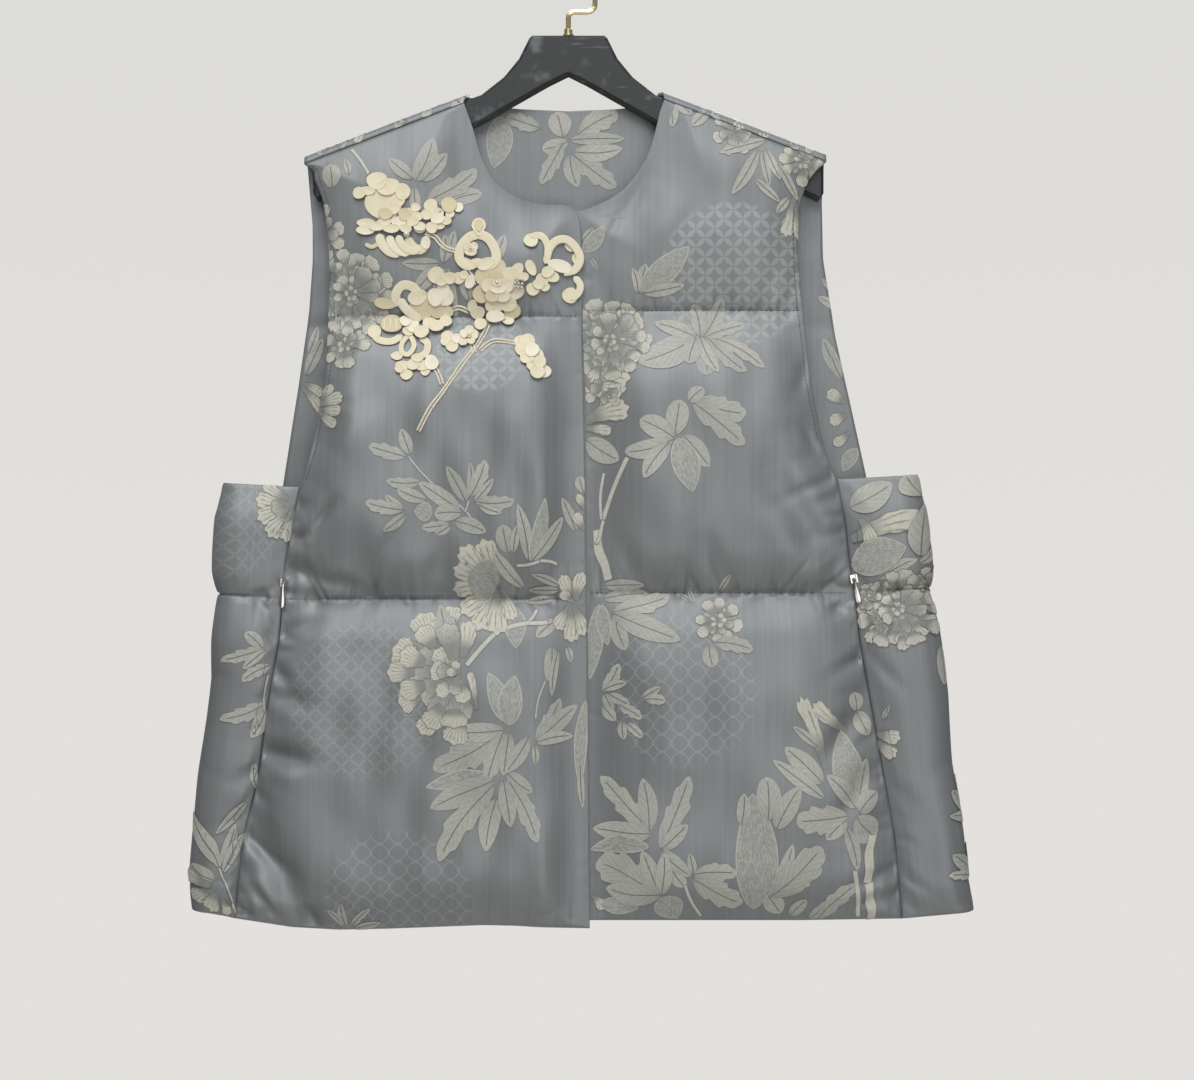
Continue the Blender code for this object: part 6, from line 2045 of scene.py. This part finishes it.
# Applique: x, z, width, height, turn, layer, tone; bands: width, layer, tone, path
CUT_PETALS = {
    "blossom_top": """
-136.2 -185 28.1 25.2 0 1 0; -141.3 -168.7 15.5 13.3 0 3 0; -133.2 -173.2 17.8 12.6 10 3 0;
-122.1 -176.9 11.1 12.6 0 3 0; -154.7 -177.6 9.6 8.9 0 3 0; -148.7 -176.1 12.6 6.7 0 3 0;
-149.5 -199.8 14.1 6.7 -4 2 0; -149.5 -205 14.8 7.4 0 3 2; -128.8 -189.5 11.1 8.1 20 4 0;
-134.7 -193.2 10.4 8.9 0 5 1; -136.2 -199.8 11.1 7.4 15 4 0; -141.3 -202.8 11.1 6.7 0 5 0;
-125.1 -199.1 11.8 7.4 -10 5 2; -130.2 -204.3 12.6 6.7 5 6 0; -116.9 -192.4 8.9 7.4 0 4 0;
-120.6 -193.9 9.6 9.6 0 6 1; -112.5 -188.7 7.4 6.7 0 5 0; -114.7 -199.1 9.6 7.4 20 6 0;
-109.5 -202.8 8.9 6.7 0 5 2; -119.9 -204.3 9.6 6.7 -15 6 0; -111 -195.4 8.1 6.7 0 6 0;
-125.1 -184.3 10.4 7.4 30 3 0""",
    "blossom_small": """
-101.4 -187.2 10.4 10.4 0 3 0; -81.4 -188 8.1 7.4 0 2 2; -88.1 -186.5 11.8 11.8 0 4 1;
-104.3 -193.9 8.9 8.1 0 4 0; -96.2 -192.4 8.9 7.4 0 3 0; -96.2 -196.9 10.4 8.1 10 5 2;
-90.3 -198.3 8.9 6.7 0 4 0; -100.6 -203.5 8.9 8.9 0 4 0; -109.5 -203.5 9.6 8.1 0 3 0;
-87.3 -193.2 6.7 6.7 0 3 0; -94.7 -202 7.4 5.9 0 3 0""",
    "petal_fan": """
-105.1 -214.6 7.4 9.6 0 4 2; -119.1 -208.7 4.4 4.4 0 6 2""",
    "petal_pear": """
-65.9 -202.8 11.1 14.1 180 3 0; -65.9 -202 6.7 9.6 180 4 1; -74.7 -230.2 14.1 8.1 -25 3 0;
-60.7 -230.2 14.1 8.9 25 3 0; -74 -217.6 6.7 6.7 0 4 0; -69.6 -217.6 6.7 6.7 0 5 0;
-71.8 -221.3 9.6 6.7 0 6 0; -71.8 -219.1 3.7 3.7 0 7 2""",
    "petal_curl": """
-27.4 -212.4 11.1 10.4 0 3 0""",
    "petal_scroll": """
1.5 -253.1 11.8 11.8 0 2 0; 2.2 -216.1 9.6 8.9 0 1 0; 6.7 -225.7 8.1 8.9 0 1 0""",
    "blossom_right": """
-37.7 -235.3 8.9 12.6 -25 2 0; -27.4 -233.1 7.4 12.6 25 3 0; -25.9 -248.7 10.4 9.6 0 2 0;
-18.5 -241.3 11.1 8.9 20 3 0; -14.8 -236.1 10.4 8.1 30 5 0; -11.1 -239.8 9.6 8.1 0 4 0;
-5.9 -231.6 18.5 9.6 -15 5 2; -21.5 -245 8.9 8.1 0 4 0; -32.6 -239.8 7.4 6.7 0 3 0;
-17 -247.2 7.4 6.7 0 3 0""",
    "blossom_centre": """
-52.5 -233.1 14.1 13.3 0 2 1; -62.2 -239.8 13.3 14.1 0 2 1; -42.2 -239 14.1 13.3 0 3 0;
-39.2 -250.1 13.3 12.6 0 2 0; -44.4 -259 12.6 12.6 0 3 0; -54.8 -260.5 13.3 11.8 0 3 0;
-64.4 -252.4 12.6 13.3 0 3 1; -52.5 -241.3 11.1 10.4 0 5 1; -59.2 -246.4 10.4 10.4 0 6 0;
-45.1 -246.4 10.4 10.4 0 6 0; -48.1 -253.8 11.1 9.6 0 7 0; -56.2 -253.8 10.4 9.6 0 7 1;
-51.8 -248.7 11.8 7.4 0 8 2; -52.5 -244.2 7.4 5.9 0 9 0; -67.3 -265.7 11.1 9.6 0 2 0;
-65.1 -273.8 9.6 8.9 0 3 0; -54 -268.6 14.1 8.9 0 4 2; -41.4 -264.2 12.6 11.8 0 2 1;
-44.4 -270.9 8.9 7.4 0 3 0; -71 -261.2 7.4 9.6 0 3 0""",
    "blossom_bud": """
-97.7 -238.3 12.6 12.6 0 2 0; -88.1 -240.5 11.1 8.9 0 3 0; -80.7 -240.5 9.6 8.9 0 2 0;
-92.5 -247.9 9.6 7.4 0 2 0; -72.5 -243.5 7.4 10.4 -20 3 2; -94 -242.7 8.1 7.4 0 4 0;
-77 -238.3 6.7 6.7 0 3 0""",
    "blossom_left": """
-108.8 -260.5 17.8 20.7 -20 2 1; -97.7 -263.5 12.6 12.6 0 3 1; -111.7 -254.6 14.8 11.1 20 3 0;
-98.4 -254.6 11.8 13.3 10 6 2; -90.3 -254.6 11.1 13.3 -10 5 2; -131 -273.8 16.3 13.3 0 3 1;
-143.6 -279.7 10.4 10.4 0 2 0; -115.4 -275.3 10.4 10.4 0 5 2; -108.8 -279.7 11.8 9.6 0 6 0;
-102.9 -273.1 10.4 8.9 0 5 0; -97.7 -275.3 11.1 8.9 0 6 0; -91 -271.6 9.6 8.9 0 5 0;
-89.5 -264.9 8.9 7.4 0 4 0; -118.4 -279 8.9 8.1 0 4 0; -120.6 -271.6 8.9 8.1 0 6 2;
-106.6 -267.2 9.6 8.1 0 4 1; -136.2 -259 16.3 8.1 -10 2 1""",
    "blossom_low": """
-126.5 -298.2 8.9 6.7 0 2 0; -122.1 -305.6 10.4 7.4 0 3 0; -119.1 -312.3 9.6 8.1 0 2 0;
-114 -304.9 10.4 8.1 0 4 0; -107.3 -305.6 10.4 8.1 0 3 0; -100.6 -303.4 10.4 11.8 20 4 2;
-124.3 -307.9 6.7 6.7 0 4 0; -111 -299.7 9.6 6.7 0 5 0; -105.1 -310.1 7.4 6.7 0 2 0""",
    "blossom_low_right": """
-89.5 -283.4 9.6 8.9 0 2 0; -85.8 -290.8 9.6 8.9 0 3 0; -82.1 -284.9 8.9 7.4 0 4 2;
-91 -287.1 7.4 6.7 0 3 0; -77.7 -287.1 6.7 6.7 0 4 0; -73.3 -278.3 7.4 6.7 0 5 0;
-69.6 -282 6.7 7.4 0 4 0; -71.8 -286.4 6.7 5.9 0 5 0; -77 -281.2 6.7 6.7 0 6 2;
-73.3 -282.7 3.7 3.7 0 7 1""",
    "blossom_tip": """
-30.3 -287.9 12.6 12.6 0 3 0; -35.5 -287.1 8.9 8.9 0 2 0; -34 -293.1 10.4 10.4 0 4 0;
-26.6 -293.8 11.1 11.1 0 5 2; -30.3 -299.7 10.4 9.6 0 4 0; -22.9 -298.2 10.4 10.4 0 3 0;
-20.7 -302.7 9.6 9.6 0 5 0; -25.9 -305.6 8.9 8.9 0 4 0; -22.2 -310.8 11.1 9.6 0 5 0;
-17 -310.1 9.6 9.6 0 2 2""",
}
CUT_BANDS = {
    "petal_fan": """
6.7 2 0 -139.9 -208 -137.6 -215.4 -131.7 -221.3 -123.6 -222.8;
5.9 3 2 -132.5 -209.4 -130.2 -215.4 -125.1 -220.5 -116.9 -222.8;
5.9 4 0 -125.8 -209.4 -122.8 -216.1 -116.9 -220.5 -109.5 -219.8;
6.7 3 0 -119.1 -210.9 -115.4 -216.8 -109.5 -219.8 -104.3 -215.4""",
    "petal_pear": """
7 2 0 -66 -208 -73.5 -211 -79.5 -218.5 -80 -226.5 -74.5 -231.5 -67 -229.5 -60 -232 -53.5 -227.5 -54
-219.5 -59 -211.5 -66 -208""",
    "petal_curl": """
5.2 2 0 -28.1 -209.4 -20 -209.4 -15.5 -215.4 -14.8 -222.8 -17 -230.2""",
    "petal_scroll": """
5.9 2 0 -15.5 -230.2 -14.1 -219.8 -8.9 -213.1 -1.5 -211.7 5.2 -216.8 8.9 -225 5.9 -233.1 -3 -238.3;
5.2 3 0 4.4 -239 8.9 -245 7.4 -251.6 1.5 -256.1""",
    "petal_crescent": """
5.2 2 0 -145.8 -279 -140.6 -285.7 -131 -287.1 -122.8 -282.7;
3.0 1 1 -150.2 -215.4 -145 -217.6 -139.1 -214.6""",
    "blossom_left": """
6.7 2 0 -127.3 -261.2 -127.3 -251.6 -122.1 -245.7 -114.7 -247.2 -109.5 -253.8;
6.7 5 2 -125.1 -256.1 -119.1 -264.2 -109.5 -271.6;
1.5 5 0 -136.9 -270.1 -136.2 -274.6 -136.9 -278.3;
1.5 5 0 -132.5 -269.4 -131.7 -274.6 -132.5 -279; 1.5 5 0 -128 -270.1 -127.3 -274.6 -128 -279""",
    "blossom_low": """
3.7 3 0 -117.7 -281.2 -122.8 -288.6 -122.8 -295.3 -117.7 -296.8 -114 -290.1 -117.7 -281.2;
5.2 2 0 -110.3 -283.4 -104.3 -288.6 -105.1 -296 -111.7 -299.7""",
}
CORDS = {
    "stem_main": """
-109.9 -355.2 -100.6 -337.5 -92.1 -325.6 -83.6 -313 -78.4 -304.9 -72.5 -296.8 -67.3 -290.1 -62.2
-281.2 -59.2 -273.8""",
    "stem_branch": """
-65.1 -294.5 -60.7 -290.1 -55.1 -286.8 -46.6 -287.1 -36.3 -289.4;
-72.5 -284.9 -70.3 -293.1 -68.8 -296""",
    "stem_top": """
-105.8 -207.2 -98.4 -210.2 -94.7 -214.6 -90.3 -218.3 -81.4 -221.3;
-75.5 -233.9 -71.8 -239 -67.3 -245""",
    "stem_low": """
-99.2 -305.6 -94.7 -313.8 -92.5 -320.4; -88.1 -264.2 -81.4 -262 -73.3 -264.9""",
}


def build_panels() -> tuple[FrontPanel, FrontPanel, SidePanel, SidePanel, BackPanel]:
    """Make the five padded panels, fronts first, since the side panels follow their seams."""
    cloth = SatinCloth()
    left = FrontPanel("silk_front_left", "front_left", 0.5, Side.LEFT, LEFT_ROWS, LEFT_HEM,
                      LEFT_CHEST, LEFT_WAIST, LEFT_FOLDS, 100)
    right = FrontPanel("silk_front_right", "front_right", 0.5, Side.RIGHT, RIGHT_ROWS, RIGHT_HEM,
                       RIGHT_CHEST, RIGHT_WAIST, RIGHT_FOLDS, 300)
    left.build(cloth, [Roundel(-65.1, -293.8, 34.0, 13.0, Net.LENS),
                       Roundel(-146.5, -552.8, 58.0, 11.9, Net.RING),
                       Roundel(-124.3, -700.8, 56.0, 12.7, Net.OCTAGON)])
    right.build(cloth, [Roundel(122.1, -238.3, 55.0, 13.7, Net.LENS),
                        Roundel(82.9, -545.4, 57.0, 12.7, Net.OCTAGON)])
    side_left = SidePanel("silk_side_left", "side_left", 0.4, Side.LEFT, left.side_seam(),
                          LEFT_FOLD, BACK_LEFT, (-395.2, -391.5, -395.2),
                          (-714.9, -709.5, -712.0), LEFT_WAIST, 700)
    side_right = SidePanel("silk_side_right", "side_right", 0.4, Side.RIGHT, right.side_seam(),
                           RIGHT_FOLD, BACK_RIGHT, (-389.3, -385.5, -389.3),
                           (-715.1, -710.0, -712.0), RIGHT_WAIST, 800)
    side_left.build(cloth, [Roundel(46.0, -427.0, 36.0, 11.9, Net.RING)])
    side_right.build(cloth, [])
    back = BackPanel("silk_back", "back", 0.5)
    back.build(cloth, [Roundel(60.0, -560.0, 56.0, 12.7, Net.OCTAGON),
                       Roundel(-90.0, -380.0, 50.0, 13.7, Net.LENS)])
    return left, right, side_left, side_right, back


def add_figures(left: FrontPanel, right: FrontPanel, side_left: SidePanel,
                side_right: SidePanel, back: BackPanel) -> None:
    """Lay the woven figures; those round the folds are finer and stand further apart."""
    figure, round_fold = FigureWeave().build(), {"step": 0.07, "finer_by": 2.5}
    for name, lay, table, peonies, settings in (
            ("figures_left", left.lay, LEFT_FIGURES, LEFT_PEONIES, {}),
            ("figures_right", right.lay, RIGHT_FIGURES, RIGHT_PEONIES, {}),
            ("figures_side_left", side_left.lay, SIDE_LEFT_FIGURES, [], round_fold),
            ("figures_side_right", side_right.lay, SIDE_RIGHT_FIGURES, SIDE_PEONIES, round_fold),
            ("figures_neck", back.lay_inside, NECK_FIGURES, [], {})):
        blown = [patch for peony in peonies for patch in peony.patches()]
        if settings:
            blown += read_patches(SIDE_BACK_FIGURES, mirror=-1.0 if "left" in name else 1.0)
        FigureLayer(name, blown + read_patches(table), **settings).build(lay, figure)
    behind = [patch for peony in BACK_PEONIES for patch in peony.patches()]
    behind += (read_patches(LEFT_FIGURES, -14.0, 0.0, -1.0)
               + read_patches(RIGHT_FIGURES, 4.0, 0.0, -1.0) + read_patches(SHOULDER_FIGURES))
    FigureLayer("figures_back", behind).build(back.lay, figure)


def add_spray(left: FrontPanel) -> None:
    """Lay the cut petals, scrolls and couched cords on the left front."""
    spray, cut, thread = Spray(left.lay), CutCloth().build(), CordThread().build()
    for node, plates in [*CUT_PETALS.items(), ("petal_crescent", "")]:
        spray.build(node, plates, CUT_BANDS.get(node, ""), cut)
    for node, paths in CORDS.items():
        spray.cords(node, paths, thread)


def add_stitches(panel: FrontPanel, thread: bpy.types.Material) -> None:
    """Sew running stitches along a front's armhole and quilt lines."""
    sign = panel.side.sign
    armhole = np.array([[row.outer_x - ARMHOLE_INSET * sign, row.outer_z]
                        for row in panel.rows[:ARMHOLE_ROWS]])
    quilts = [np.array([[panel.rows[k].outer_x, height], [CENTRE_X * -sign, height]])
              for k, height in zip(QUILT_ROWS, (panel.chest, panel.waist))]
    Stitching().build(f"stitches_{panel.side.value}", panel.lay, [armhole, *quilts], thread)


def add_beads(left: FrontPanel) -> None:
    """Sew a square of nine crystals, and six pearls, on the spray."""
    crystals = [(-36.4 + 2.7 * i + 0.4 * j, -244.6 + 2.7 * j - 0.4 * i, 3.0, 4.4, 4)
                for i in (-1, 0, 1) for j in (-1, 0, 1)]
    pearls = [(-119.1, -208.7, 3.6, 3.6, 14), (-71.8, -219.1, 2.6, 3.9, 14),
              (-52.5, -244.2, 2.4, 5.4, 14), (-94.7, -185.8, 1.8, 2.6, 14),
              (-94.7, -191.0, 1.8, 2.6, 14), (-73.3, -282.7, 2.2, 4.2, 14)]
    glass = new_material("glass_bead", Base_Color="#cfc9c2", Metallic=0.4, Roughness=0.2)[0]
    Beads(left.lay).build(crystals + pearls, glass)


def finish_solids(nodes: dict[str, bpy.types.Object]) -> None:
    """Put the finishes of hanger, hook and zips on the solids."""
    brass = PolishedMetal("brass_plated_wire", "#d9c79a", 0.28).build()
    nickel = PolishedMetal("nickel_plated_zinc", "#c9c7c2", 0.22).build()
    finishes = {"hanger": WornPlastic().build(), "hook": brass, "hook_collar": brass}
    for name, item in nodes.items():
        item.data.materials.clear()
        item.data.materials.append(finishes.get(name, nickel))


def main() -> None:
    """Build every piece in order, from the cloth out."""
    logging.basicConfig(level=logging.INFO, format="%(name)s: %(message)s")
    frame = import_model()
    Studio().build()
    panels = build_panels()
    left, right = panels[:2]
    add_figures(*panels)
    add_spray(left)
    thread = SewingThread().build()
    for panel in (left, right):
        add_stitches(panel, thread)
    add_beads(left)
    finish_solids(frame["nodes"])


if __name__ == "__main__":
    main()
